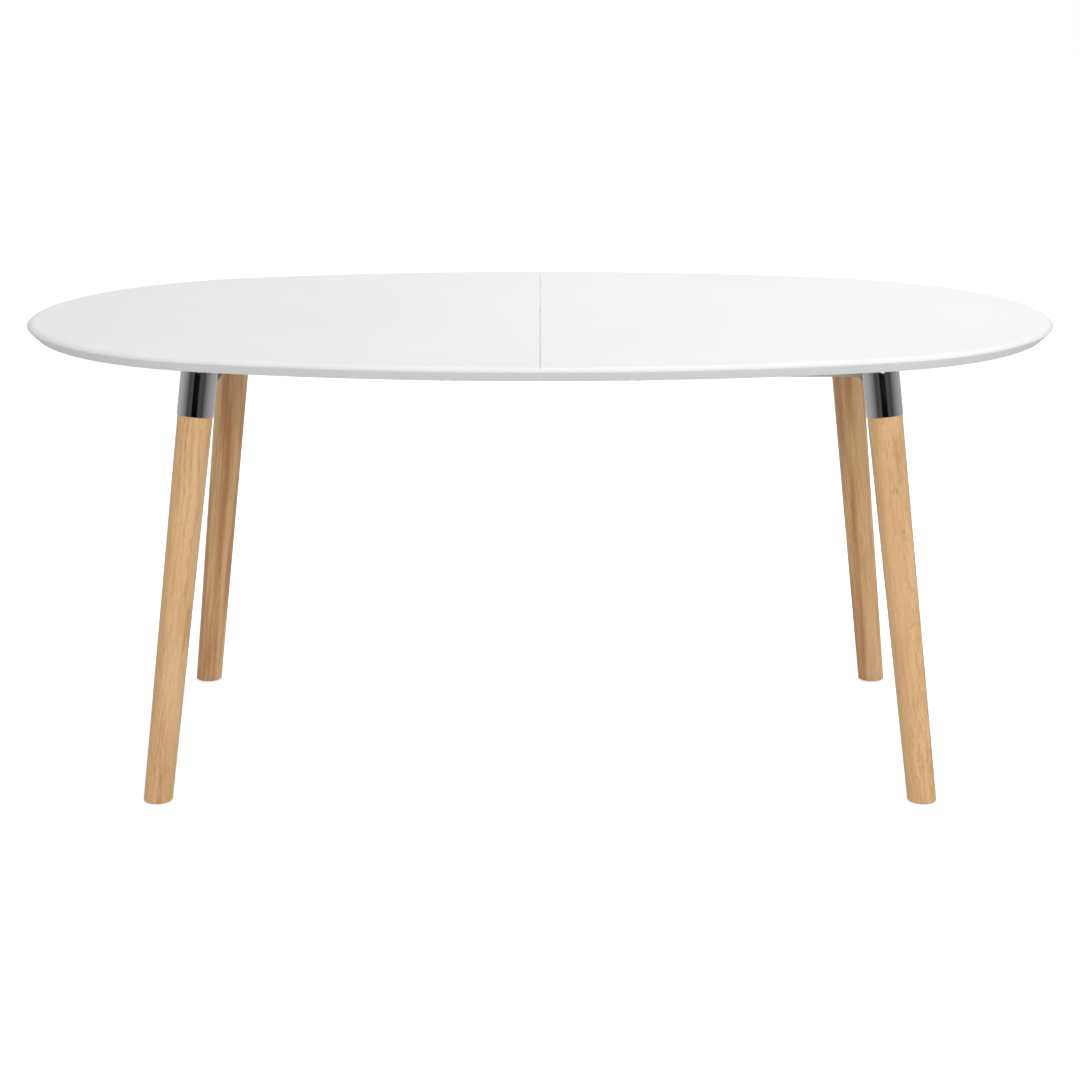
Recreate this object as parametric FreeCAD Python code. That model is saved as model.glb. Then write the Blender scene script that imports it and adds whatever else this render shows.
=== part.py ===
import FreeCAD, Part
import math
import os

# Oval extending dining table, in millimetres. +X is the long way, which is also the way
# the top pulls apart, -Y is the front, +Z is up. The origin is on the floor, under the
# middle of the closed table.

# ---------------------------------------------------------------- overall sizes
TOP_LENGTH = 1700.0
TOP_WIDTH = 1000.0
TABLE_HEIGHT = 740.0
TOP_THICKNESS = 22.0
SIDE_RADIUS = 1870.0        # radius of the two long sides of the oval
LEAF_GAP = 1000.0           # how far the two halves pull apart

# ---------------------------------------------------------------- edge of the top
SHOULDER_RUN = 12.0         # soft upper shoulder, measured inwards
SHOULDER_DROP = 5.5
EDGE_LAND = 1.2             # upright band between shoulder and bevel
BEVEL_RUN = 15.5            # undercut from the land to the underside
SEAM_GAP = 0.6
SEAM_CHAMFER = 0.5

# ---------------------------------------------------------------- legs and collars
FOOT_INSET_X = 232.0        # end of the top to the middle of a foot
FOOT_INSET_Y = 170.0
SPLAY_X = 6.6               # degrees out of upright, towards the ends
SPLAY_Y = 6.0               # degrees out of upright, towards the sides
FOOT_RADIUS = 23.2
LEG_RADIUS = 28.0           # where the leg goes into its collar
FOOT_ROUND = 2.5
COLLAR_WALL = 1.2
COLLAR_EASE = 0.05          # radial, leg below the collar to the collar's bore
COLLAR_DROP = 97.0          # underside of the top to the collar's lower end
COLLAR_FIT = 0.15           # radial, spigot in collar
SPIGOT_GAP = 3.0            # spigot end to mounting plate
SPIGOT_CHAMFER = 2.0
GLIDE_RADIUS = 18.0
GLIDE_HEIGHT = 4.0
GLIDE_PROUD = 1.0
GLIDE_CHAMFER = 0.5

PLATE_THICKNESS = 4.0
PLATE_MARGIN = 11.7         # collar to edge of the mounting plate
PLATE_CORNER = 8.0
SCREW_INSET = 10.0          # edge of a mounting plate to its screws
LEG_BOLT_RADIUS = 4.0
LEG_BOLT_DEPTH = 60.0
LEG_BOLT_GAP = 1.0          # bolt end to the underside of the top

END_RAIL_WIDTH = 25.0
END_RAIL_HEIGHT = 66.0
END_RAIL_WALL = 2.0

# ---------------------------------------------------------------- screws
SCREW_RADIUS = 2.1
SCREW_HOLE_CLEARANCE = 0.3
SCREW_HEAD_RADIUS = 4.2
SCREW_HEAD_HEIGHT = 2.6
SCREW_SLOT_WIDTH = 1.0
SCREW_SLOT_DEPTH = 1.0
SCREW_DEPTH = 14.0          # how far a screw goes into the top

# ---------------------------------------------------------------- telescopic runners
RUNNER_FROM_LEG = 105.0     # middle of a runner set to the leg axis at the underside
RUNNER_GAP = 2.0            # underside of the top to the top of a runner
RUNNER_HEIGHT = 40.0
RUNNER_END_GAP = 6.0        # runner ends to the end rails
CHANNEL_WIDTH = 18.0
CHANNEL_WALL = 3.0
SLOT_HEIGHT = 12.0
WEB_THICKNESS = 6.0
WEB_GAP = 1.0               # web of the middle member to a channel
SLIDE_GAP = 0.5             # middle member's heads inside the channels
STEM_GAP = 1.0
HEAD_THICKNESS = 6.5
PAD_GAP = 0.4
PAD_LENGTH = 40.0
PAD_HEIGHT = 24.0
STOP_RADIUS = 2.5
STOP_HEAD_RADIUS = 4.5
STOP_HEAD_HEIGHT = 2.5
STOP_GAP = 0.5

BRACKET_WIDTH = 30.0
BRACKET_REACH = 24.0
BRACKET_DROP = 28.0
BRACKET_METAL = 2.0
BRACKET_FIRST = 60.0        # seam to the first bracket
BRACKET_PITCH = 190.0
BRACKET_COUNT = 3
BRACKET_SCREW_OUT = 12.0
BRACKET_SCREW_PITCH = 18.0
RIVET_RADIUS = 2.0
RIVET_HEAD_RADIUS = 3.5
RIVET_HEAD_HEIGHT = 1.4
RIVET_RISE = 7.0            # middle of a channel to its rivets

# ---------------------------------------------------------------- synchronising gear
GEAR_MODULE = 1.5
PINION_TEETH = 18
PRESSURE_ANGLE = math.radians(20.0)
ROOT_DEPTH = 1.25           # pitch line to tooth root, in modules
FLANK_STEPS = 5             # straight steps along a pinion tooth's flank
BACKLASH = 0.2
RACK_HEIGHT = 10.0
RACK_OVERRUN = 30.0         # rack beyond the pinion's travel
PINION_FACE = 9.0
PINION_TOP_GAP = 3.5        # pinion to the web above it
PIN_RADIUS = 2.0
PIN_FIT = 0.05
PIN_HEAD_RADIUS = 4.5
PIN_HEAD_HEIGHT = 2.2
PIN_SINK = 12.0             # thread length in the web
PINION_END_FLOAT = 0.4
RACK_SCREW_RADIUS = 1.5
RACK_SCREW_COUNT = 4

TIE_X = 150.0               # carriage ties, from the middle
TIE_WIDTH = 30.0
TIE_THICKNESS = 4.0
TIE_DROP = 18.0             # web to tie bar
TIE_OVERHANG = 10.0
TIE_SCREW_RADIUS = 2.0
TIE_SCREW_HEAD_RADIUS = 4.0
TIE_SCREW_HEAD_HEIGHT = 2.4
TIE_SCREW_SINK = 10.0
TIE_SCREW_PITCH = 18.0

# ---------------------------------------------------------------- seam dowels
DOWEL_RADIUS = 5.0
DOWEL_SINK = 20.0
DOWEL_PROUD = 14.0
DOWEL_FIT = 0.3
DOWEL_END_GAP = 2.0
DOWEL_INSETS = (120.0, 370.0)

# ---------------------------------------------------------------- seam latches
LATCH_INSET_Y = 170.0       # side of the top to the latch pivot
LATCH_PIVOT_X = 30.0        # seam to pivot
LATCH_THROW = 50.0          # pivot to strike pin
LATCH_ARM = 68.0            # pivot to the end of the lever
LATCH_ARM_WIDTH = 22.0
LATCH_METAL = 4.0
LATCH_PLATE = 2.0
LATCH_PLATE_LENGTH = 48.0
LATCH_PLATE_WIDTH = 34.0
STRIKE_PLATE_LENGTH = 36.0
STRIKE_PLATE_LEAD = 6.0     # strike plate's edge at the seam to the strike pin
LATCH_DROP = 4.0            # base plate to lever
LATCH_PIN_RADIUS = 3.0
LATCH_PIN_FIT = 0.08
LATCH_PIN_HEAD = 6.0
LATCH_PIN_HEAD_HEIGHT = 2.0
LATCH_END_FLOAT = 0.5
LATCH_SLOT_FIT = 0.5
LATCH_SCREW_INSET = 7.0
KNOB_RADIUS = 6.0
KNOB_HEIGHT = 14.0
KNOB_NECK = 2.5
KNOB_ROUND = 2.0

# ---------------------------------------------------------------- worked out
UNDERSIDE = TABLE_HEIGHT - TOP_THICKNESS
HALF_LENGTH = TOP_LENGTH / 2
HALF_WIDTH = TOP_WIDTH / 2
HALF_TRAVEL = LEAF_GAP / 2
END_RADIUS = (2 * SIDE_RADIUS * HALF_WIDTH - HALF_LENGTH ** 2 - HALF_WIDTH ** 2) / (
    2 * (SIDE_RADIUS - HALF_LENGTH))
FOOT_X = HALF_LENGTH - FOOT_INSET_X
FOOT_Y = HALF_WIDTH - FOOT_INSET_Y
LEAN_X = math.tan(math.radians(SPLAY_X))
LEAN_Y = math.tan(math.radians(SPLAY_Y))
LEAN = math.sqrt(1 + LEAN_X ** 2 + LEAN_Y ** 2)     # length along a leg for each mm of height
COLLAR_BORE = LEG_RADIUS + COLLAR_EASE
COLLAR_RADIUS = COLLAR_BORE + COLLAR_WALL
PLATE_HALF = COLLAR_RADIUS + PLATE_MARGIN
PLATE_BOTTOM = UNDERSIDE - PLATE_THICKNESS
LEG_TOP_Y = FOOT_Y - LEAN_Y * UNDERSIDE
END_RAIL_MIDDLE = PLATE_BOTTOM - END_RAIL_HEIGHT / 2
END_RAIL_X = FOOT_X - LEAN_X * END_RAIL_MIDDLE

RUNNER_Y = LEG_TOP_Y - RUNNER_FROM_LEG
RUNNER_TOP = UNDERSIDE - RUNNER_GAP
RUNNER_BOTTOM = RUNNER_TOP - RUNNER_HEIGHT
RUNNER_END = END_RAIL_X - END_RAIL_WIDTH / 2 - RUNNER_END_GAP
CHANNEL_FACE = WEB_THICKNESS / 2 + WEB_GAP
CHANNEL_BACK = CHANNEL_FACE + CHANNEL_WIDTH
CAVITY_FACE = CHANNEL_FACE + CHANNEL_WALL
CAVITY_BACK = CHANNEL_BACK - CHANNEL_WALL
SLOT_MIDDLE = RUNNER_BOTTOM + RUNNER_HEIGHT / 2
HEAD_FACE = CAVITY_FACE + SLIDE_GAP
HEAD_BACK = HEAD_FACE + HEAD_THICKNESS
HEAD_BOTTOM = RUNNER_BOTTOM + CHANNEL_WALL + SLIDE_GAP
HEAD_TOP = RUNNER_TOP - CHANNEL_WALL - SLIDE_GAP
STOP_X = PAD_LENGTH - (RUNNER_END - HALF_TRAVEL) + STOP_GAP + STOP_RADIUS

PITCH_RADIUS = GEAR_MODULE * PINION_TEETH / 2
TOOTH_PITCH = math.pi * GEAR_MODULE
DEDENDUM = ROOT_DEPTH * GEAR_MODULE
RACK_BOTTOM = RUNNER_BOTTOM - RACK_HEIGHT
PINION_TOP = HEAD_BOTTOM - PINION_TOP_GAP
PINION_BOTTOM = PINION_TOP - PINION_FACE
TIE_TOP = HEAD_BOTTOM - TIE_DROP
TIE_BOTTOM = TIE_TOP - TIE_THICKNESS

LATCH_Y = HALF_WIDTH - LATCH_INSET_Y
LATCH_TOP = UNDERSIDE - LATCH_PLATE - LATCH_DROP
LATCH_BOTTOM = LATCH_TOP - LATCH_METAL
STRIKE_X = LATCH_THROW - LATCH_PIVOT_X
DOWEL_Z = UNDERSIDE + TOP_THICKNESS / 2

LEFT, RIGHT = -1, 1
FRONT, REAR = -1, 1
SIDE_NAME = {LEFT: "left", RIGHT: "right"}
ROW_NAME = {FRONT: "front", REAR: "rear"}
UP = FreeCAD.Vector(0, 0, 1)
OVERCUT = 1.0               # how far a cutting shape runs past what it cuts
NEAR = 0.01                 # tolerance for picking edges by their height


def vec(x, y, z):
    return FreeCAD.Vector(x, y, z)


def block(x0, x1, y0, y1, z0, z1):
    """A box between two corners, given in any order."""
    low = vec(min(x0, x1), min(y0, y1), min(z0, z1))
    return Part.makeBox(abs(x1 - x0), abs(y1 - y0), abs(z1 - z0), low)


def rod(radius, start, end):
    """A round bar between two points."""
    run = end - start
    return Part.makeCylinder(radius, run.Length, start, run)


def prism(points, rise):
    """A straight-sided solid on a closed outline."""
    wire = Part.makePolygon(points + [points[0]])
    return Part.Face(wire).extrude(rise)


def fuse(shapes):
    """One solid from touching shapes."""
    joined = shapes[0].multiFuse(shapes[1:])
    return joined.removeSplitter()


def group(shapes):
    """Separate solids that share one node."""
    return Part.makeCompound(shapes)


def save(name, shape):
    shape.exportStep("parts/" + name + ".step")


# ---------------------------------------------------------------- the top
def edge_section(centre, radius, inner, angle):
    """Section of the board from an inner radius to its shaped edge, turned to an angle."""
    away = vec(math.cos(angle), math.sin(angle), 0)

    def at(r, z):
        return centre + away * r + UP * z

    top, shoulder = TABLE_HEIGHT, radius - SHOULDER_RUN
    bend = (SHOULDER_RUN ** 2 + SHOULDER_DROP ** 2) / (2 * SHOULDER_DROP)
    half_turn = math.asin(SHOULDER_RUN / bend) / 2
    middle = at(shoulder + bend * math.sin(half_turn), top - bend * (1 - math.cos(half_turn)))
    land_top, land_bottom = top - SHOULDER_DROP, top - SHOULDER_DROP - EDGE_LAND
    lines = [
        Part.makeLine(at(inner, UNDERSIDE), at(radius - BEVEL_RUN, UNDERSIDE)),
        Part.makeLine(at(radius - BEVEL_RUN, UNDERSIDE), at(radius, land_bottom)),
        Part.makeLine(at(radius, land_bottom), at(radius, land_top)),
        Part.Arc(at(radius, land_top), middle, at(shoulder, top)).toShape(),
        Part.makeLine(at(shoulder, top), at(inner, top)),
        Part.makeLine(at(inner, top), at(inner, UNDERSIDE)),
    ]
    return Part.Face(Part.Wire(lines))


def edge_sector(centre, radius, inner, start, end):
    """Board swept round a centre from one angle to another."""
    section = edge_section(centre, radius, inner, start)
    return section.revolve(centre, UP, math.degrees(end - start))


def board_half():
    """Left half of the oval board: an end sector, two side sectors and the core between."""
    end_centre = vec(END_RADIUS - HALF_LENGTH, 0, 0)
    side_centre = vec(0, SIDE_RADIUS - HALF_WIDTH, 0)
    turn = math.atan2(side_centre.y, -end_centre.x)
    core_radius = SIDE_RADIUS - END_RADIUS
    core_y = core_radius - side_centre.y
    end = edge_sector(end_centre, END_RADIUS, 0, math.pi - turn, math.pi + turn)
    rear = edge_sector(-side_centre, SIDE_RADIUS, core_radius, math.pi / 2, math.pi - turn)
    front = edge_sector(side_centre, SIDE_RADIUS, core_radius, math.pi + turn, 1.5 * math.pi)

    half_angle = (math.pi / 2 - turn) / 2
    bulge = vec(-core_radius * math.sin(half_angle), core_radius * math.cos(half_angle), 0)
    rear_middle = bulge - side_centre
    front_middle = vec(rear_middle.x, -rear_middle.y, 0)
    outline = Part.Wire([
        Part.Arc(end_centre, rear_middle, vec(0, core_y, 0)).toShape(),
        Part.makeLine(vec(0, core_y, 0), vec(0, -core_y, 0)),
        Part.Arc(vec(0, -core_y, 0), front_middle, end_centre).toShape(),
    ])
    core = Part.Face(outline).extrude(UP * TOP_THICKNESS)
    core.translate(UP * UNDERSIDE)
    board = fuse([end, rear, front, core])

    face = -SEAM_GAP / 2
    beyond = block(face, HALF_LENGTH, -TOP_WIDTH, TOP_WIDTH, 0, TABLE_HEIGHT + TOP_THICKNESS)
    chamfer = prism([
        vec(face - SEAM_CHAMFER, -TOP_WIDTH, TABLE_HEIGHT),
        vec(face + OVERCUT, -TOP_WIDTH, TABLE_HEIGHT - SEAM_CHAMFER - OVERCUT),
        vec(face + OVERCUT, -TOP_WIDTH, TABLE_HEIGHT + OVERCUT),
        vec(face - SEAM_CHAMFER, -TOP_WIDTH, TABLE_HEIGHT + OVERCUT),
    ], vec(0, 2 * TOP_WIDTH, 0))
    return board.cut([beyond, chamfer])


def dowel_rows():
    places = [HALF_WIDTH - inset for inset in DOWEL_INSETS]
    return [sign * y for y in places for sign in (FRONT, REAR)]


def dowel_bore(y, start, end, radius):
    return rod(radius, vec(start, y, DOWEL_Z), vec(end, y, DOWEL_Z))


def top_half(side):
    """One half of the top, with its screw holes and the dowel holes in the seam face."""
    board = board_half()
    if side == RIGHT:
        board = board.mirror(vec(0, 0, 0), vec(1, 0, 0))
    holes = [screw_bore(x, y) for x, y, metal in screw_seats(side)]
    if side == LEFT:
        holes += [dowel_bore(y, 0, -DOWEL_SINK, DOWEL_RADIUS) for y in dowel_rows()]
    else:
        depth = DOWEL_PROUD + DOWEL_END_GAP
        holes += [dowel_bore(y, 0, depth, DOWEL_RADIUS + DOWEL_FIT) for y in dowel_rows()]
    return board.cut(holes)


def seam_dowels():
    start, end = -DOWEL_SINK, DOWEL_PROUD
    return group([dowel_bore(y, start, end, DOWEL_RADIUS) for y in dowel_rows()])


# ---------------------------------------------------------------- wood screws
def screw_bore(x, y):
    start = vec(x, y, UNDERSIDE - OVERCUT)
    return rod(SCREW_RADIUS, start, vec(x, y, UNDERSIDE + SCREW_DEPTH))


def screw_hole(x, y, metal):
    """Clearance hole through a plate that lies against the underside."""
    radius = SCREW_RADIUS + SCREW_HOLE_CLEARANCE
    start = vec(x, y, UNDERSIDE + OVERCUT)
    return rod(radius, start, vec(x, y, UNDERSIDE - metal - OVERCUT))


def wood_screw(x, y, metal):
    """A round-head screw that holds a plate of the given thickness to the underside."""
    seat = UNDERSIDE - metal
    shank = rod(SCREW_RADIUS, vec(x, y, seat), vec(x, y, UNDERSIDE + SCREW_DEPTH))
    head = rod(SCREW_HEAD_RADIUS, vec(x, y, seat - SCREW_HEAD_HEIGHT), vec(x, y, seat))
    face = seat - SCREW_HEAD_HEIGHT
    half = SCREW_SLOT_WIDTH / 2
    slot = block(x - SCREW_HEAD_RADIUS, x + SCREW_HEAD_RADIUS, y - half, y + half,
                 face - OVERCUT, face + SCREW_SLOT_DEPTH)
    return fuse([shank, head]).cut(slot)


def plate_screw_places(side, row):
    """The four screws of one leg's mounting plate."""
    reach = PLATE_HALF - SCREW_INSET
    centre = leg_point(side, row, UNDERSIDE)
    return [(centre.x + i * reach, centre.y + j * reach) for i in (-1, 1) for j in (-1, 1)]


def bracket_centres(side):
    return [side * (BRACKET_FIRST + BRACKET_PITCH * i) for i in range(BRACKET_COUNT)]


def bracket_screw_places(side, row):
    """Screws of the runner brackets; the left half's runners are the outboard ones."""
    out = CHANNEL_BACK + BRACKET_SCREW_OUT
    y = row * (RUNNER_Y - side * out)
    half = BRACKET_SCREW_PITCH / 2
    return [(x + i * half, y) for x in bracket_centres(side) for i in (-1, 1)]


def latch_plate_span(side):
    """Middle of a latch or strike plate along X, and half its length."""
    if side == LEFT:
        return -LATCH_PIVOT_X, LATCH_PLATE_LENGTH / 2
    return STRIKE_X - STRIKE_PLATE_LEAD + STRIKE_PLATE_LENGTH / 2, STRIKE_PLATE_LENGTH / 2


def latch_screw_places(side, row):
    """Two screws at opposite corners of a latch plate, or at the far end of a strike plate."""
    x, half = latch_plate_span(side)
    y = row * LATCH_Y
    i_reach = half - LATCH_SCREW_INSET
    j_reach = LATCH_PLATE_WIDTH / 2 - LATCH_SCREW_INSET
    if side == LEFT:
        return [(x + i * i_reach, y - row * j_reach * i) for i in (-1, 1)]
    return [(x + i_reach, y + j * j_reach) for j in (-1, 1)]


def screw_seats(side):
    """Every wood screw of one half: its place and the thickness of the metal under its head."""
    seats = []
    for row in (FRONT, REAR):
        seats += [(x, y, PLATE_THICKNESS) for x, y in plate_screw_places(side, row)]
        seats += [(x, y, BRACKET_METAL) for x, y in bracket_screw_places(side, row)]
        seats += [(x, y, LATCH_PLATE) for x, y in latch_screw_places(side, row)]
    return seats


# ---------------------------------------------------------------- legs
def leg_point(side, row, height):
    """A point on a leg's axis at a height above the floor."""
    return vec(side * (FOOT_X - LEAN_X * height), row * (FOOT_Y - LEAN_Y * height), height)


def on_leg(shape, side, row):
    """Stand a shape that was made round the Z axis on a leg's axis, from the floor up."""
    axis = leg_point(side, row, 1) - leg_point(side, row, 0)
    shape.Placement = FreeCAD.Placement(leg_point(side, row, 0), FreeCAD.Rotation(UP, axis))
    return shape


def below(height):
    """Everything up to a height."""
    reach = TOP_LENGTH
    return block(-reach, reach, -reach, reach, -reach, height)


def leg_bolt(side, row):
    bottom = PLATE_BOTTOM - LEG_BOLT_DEPTH
    bolt = Part.makeCylinder(LEG_BOLT_RADIUS, TABLE_HEIGHT * LEAN, vec(0, 0, bottom * LEAN))
    return on_leg(bolt, side, row).common(below(UNDERSIDE - LEG_BOLT_GAP))


def leg(side, row):
    """A tapered round leg with a spigot for its collar, cut level at the foot."""
    mouth = (UNDERSIDE - COLLAR_DROP) * LEAN
    spigot_radius = COLLAR_BORE - COLLAR_FIT
    tilt_rise = spigot_radius * math.sqrt(LEAN_X ** 2 + LEAN_Y ** 2)
    end = (PLATE_BOTTOM - SPIGOT_GAP - tilt_rise) * LEAN
    start = -2 * GLIDE_HEIGHT
    taper = (LEG_RADIUS - FOOT_RADIUS) / mouth
    profile = Part.makePolygon([
        vec(0, 0, start),
        vec(FOOT_RADIUS + taper * start, 0, start),
        vec(LEG_RADIUS, 0, mouth),
        vec(spigot_radius, 0, mouth),
        vec(spigot_radius, 0, end - SPIGOT_CHAMFER),
        vec(spigot_radius - SPIGOT_CHAMFER, 0, end),
        vec(0, 0, end),
        vec(0, 0, start),
    ])
    turned = Part.Face(profile).revolve(vec(0, 0, 0), UP, 360)
    turned = on_leg(turned, side, row).cut(below(GLIDE_PROUD))
    rim = [e for e in turned.Edges if e.BoundBox.ZMax < GLIDE_PROUD + NEAR]
    turned = turned.makeFillet(FOOT_ROUND, rim)
    foot = leg_point(side, row, 0)
    recess = rod(GLIDE_RADIUS, foot, foot + UP * GLIDE_HEIGHT)
    return turned.cut([recess, leg_bolt(side, row)])


def glide(side, row):
    foot = leg_point(side, row, 0)
    disc = rod(GLIDE_RADIUS, foot, foot + UP * GLIDE_HEIGHT)
    rim = [e for e in disc.Edges if e.BoundBox.ZMax < NEAR]
    return disc.makeChamfer(GLIDE_CHAMFER, rim)


def collar_body(side, row, radius):
    bottom = (UNDERSIDE - COLLAR_DROP) * LEAN
    tube = Part.makeCylinder(radius, 2 * COLLAR_DROP, vec(0, 0, bottom))
    return on_leg(tube, side, row).common(below(PLATE_BOTTOM))


def collar(side, row):
    """A metal sleeve round the top of the leg."""
    return collar_body(side, row, COLLAR_RADIUS).cut(collar_body(side, row, COLLAR_BORE))


def leg_plate(side, row):
    """The mounting plate at the top of a collar, with four screw holes and the bolt hole."""
    centre = leg_point(side, row, UNDERSIDE)
    plate = block(centre.x - PLATE_HALF, centre.x + PLATE_HALF,
                  centre.y - PLATE_HALF, centre.y + PLATE_HALF, PLATE_BOTTOM, UNDERSIDE)
    upright = [e for e in plate.Edges if abs(e.BoundBox.ZLength - PLATE_THICKNESS) < NEAR]
    plate = plate.makeFillet(PLATE_CORNER, upright)
    holes = [screw_hole(x, y, PLATE_THICKNESS) for x, y in plate_screw_places(side, row)]
    return plate.cut(holes + [leg_bolt(side, row)])


def end_rail(side):
    """A rectangular tube between the two collars of one end, shaped round them."""
    x = side * END_RAIL_X
    half = END_RAIL_WIDTH / 2
    low = PLATE_BOTTOM - END_RAIL_HEIGHT
    tube = block(x - half, x + half, -FOOT_Y, FOOT_Y, low, PLATE_BOTTOM)
    wall = END_RAIL_WALL
    bore = block(x - half + wall, x + half - wall, -TOP_WIDTH, TOP_WIDTH,
                 low + wall, PLATE_BOTTOM - wall)
    collars = [collar_body(side, row, COLLAR_RADIUS) for row in (FRONT, REAR)]
    pieces = tube.cut([bore] + collars).Solids
    return min(pieces, key=lambda solid: abs(solid.CenterOfMass.y))


# ---------------------------------------------------------------- runners
def runner_y(row, out):
    """Y at a distance outboard of the middle of a runner set."""
    return row * (RUNNER_Y + out)


def bar(row, near, far, x0, x1, z0, z1):
    """A bar along X in a runner set, between two distances outboard of its middle."""
    return block(x0, x1, runner_y(row, near), runner_y(row, far), z0, z1)


def rivet_places(side):
    return [(x, SLOT_MIDDLE + RIVET_RISE) for x in bracket_centres(side)]


def rivet_shank(side, row, x, z):
    out = -side
    start = vec(x, runner_y(row, out * CAVITY_BACK), z)
    end = vec(x, runner_y(row, out * (CHANNEL_BACK + BRACKET_METAL)), z)
    return rod(RIVET_RADIUS, start, end)


def stop_pin(side, row):
    """A stop screw through the back of a channel, which meets a slide pad at full reach."""
    out = -side
    x = -side * STOP_X
    tip = vec(x, runner_y(row, out * (HEAD_BACK + PAD_GAP)), SLOT_MIDDLE)
    seat = vec(x, runner_y(row, out * CHANNEL_BACK), SLOT_MIDDLE)
    outer = vec(x, runner_y(row, out * (CHANNEL_BACK + STOP_HEAD_HEIGHT)), SLOT_MIDDLE)
    return fuse([rod(STOP_RADIUS, tip, seat), rod(STOP_HEAD_RADIUS, seat, outer)])


def channel(side, row):
    """A slotted channel: outboard on the left half, inboard on the right half."""
    out = -side
    ends = (-RUNNER_END, RUNNER_END)
    body = bar(row, out * CHANNEL_FACE, out * CHANNEL_BACK, *ends, RUNNER_BOTTOM, RUNNER_TOP)
    cavity = bar(row, out * CAVITY_FACE, out * CAVITY_BACK, *ends,
                 RUNNER_BOTTOM + CHANNEL_WALL, RUNNER_TOP - CHANNEL_WALL)
    slot = bar(row, 0, out * CAVITY_FACE, *ends,
               SLOT_MIDDLE - SLOT_HEIGHT / 2, SLOT_MIDDLE + SLOT_HEIGHT / 2)
    holes = [rivet_shank(side, row, x, z) for x, z in rivet_places(side)]
    holes += [rack_screw_shank(side, row, x) for x in rack_screw_places(side)]
    return body.cut([cavity, slot, stop_pin(side, row)] + holes)


def middle_runner(row):
    """The double-headed bar between two channels, which the carriage is made of."""
    ends = (-RUNNER_END, RUNNER_END)
    half_web = WEB_THICKNESS / 2
    half_stem = SLOT_HEIGHT / 2 - STEM_GAP
    parts = [bar(row, -half_web, half_web, *ends, HEAD_BOTTOM, HEAD_TOP)]
    for out in (-1, 1):
        parts.append(bar(row, out * half_web, out * HEAD_FACE, *ends,
                         SLOT_MIDDLE - half_stem, SLOT_MIDDLE + half_stem))
        parts.append(bar(row, out * HEAD_FACE, out * HEAD_BACK, *ends, HEAD_BOTTOM, HEAD_TOP))
    holes = [pinion_pin_shank(row)]
    holes += [tie_screw_shank(row, x) for x in tie_screw_places()]
    return fuse(parts).cut(holes)


def slide_pads():
    """Nylon pads on the backs of the heads, at both ends of each middle runner."""
    half = PAD_HEIGHT / 2
    pads = []
    for row in (FRONT, REAR):
        for out in (-1, 1):
            for end in (LEFT, RIGHT):
                pads.append(bar(row, out * HEAD_BACK, out * (CAVITY_BACK - PAD_GAP),
                                end * RUNNER_END, end * (RUNNER_END - PAD_LENGTH),
                                SLOT_MIDDLE - half, SLOT_MIDDLE + half))
    return group(pads)


def bracket(side, row, x):
    """An angle bracket from the back of a channel to the underside of its half."""
    out = -side
    ends = (x - BRACKET_WIDTH / 2, x + BRACKET_WIDTH / 2)
    back = out * CHANNEL_BACK
    upright = bar(row, back, back + out * BRACKET_METAL, *ends,
                  UNDERSIDE - BRACKET_DROP, UNDERSIDE)
    flange = bar(row, back, back + out * BRACKET_REACH, *ends,
                 UNDERSIDE - BRACKET_METAL, UNDERSIDE)
    holes = [screw_hole(sx, sy, BRACKET_METAL) for sx, sy in bracket_screw_places(side, row)]
    holes += [rivet_shank(side, row, rx, rz) for rx, rz in rivet_places(side)]
    return fuse([upright, flange]).cut(holes)


def brackets(side):
    rows = (FRONT, REAR)
    return group([bracket(side, row, x) for row in rows for x in bracket_centres(side)])


def rivet(side, row, x, z):
    out = -side
    start = vec(x, runner_y(row, out * (CHANNEL_BACK + BRACKET_METAL)), z)
    end = vec(x, runner_y(row, out * (CHANNEL_BACK + BRACKET_METAL + RIVET_HEAD_HEIGHT)), z)
    return fuse([rivet_shank(side, row, x, z), rod(RIVET_HEAD_RADIUS, start, end)])


def runner_rivets(side):
    rows = (FRONT, REAR)
    return group([rivet(side, row, x, z) for row in rows for x, z in rivet_places(side)])


# ---------------------------------------------------------------- racks and pinions
def rack_span(side):
    """The stretch of a half's rack that the pinion rolls along, with its overrun."""
    return (-RACK_OVERRUN, RUNNER_END) if side == LEFT else (-RUNNER_END, RACK_OVERRUN)


def rack_screw_places(side):
    start, end = rack_span(side)
    step = (end - start) / RACK_SCREW_COUNT
    return [start + step * (i + 0.5) for i in range(RACK_SCREW_COUNT)]


def rack_screw_y(side, row):
    root = PITCH_RADIUS + DEDENDUM
    return runner_y(row, -side * (root + CHANNEL_BACK) / 2)


def rack_screw_shank(side, row, x):
    y = rack_screw_y(side, row)
    top = RUNNER_BOTTOM + CHANNEL_WALL
    return rod(RACK_SCREW_RADIUS, vec(x, y, RACK_BOTTOM), vec(x, y, top))


def rack_screws(side):
    return group([rack_screw_shank(side, row, x)
                  for row in (FRONT, REAR) for x in rack_screw_places(side)])


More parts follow.
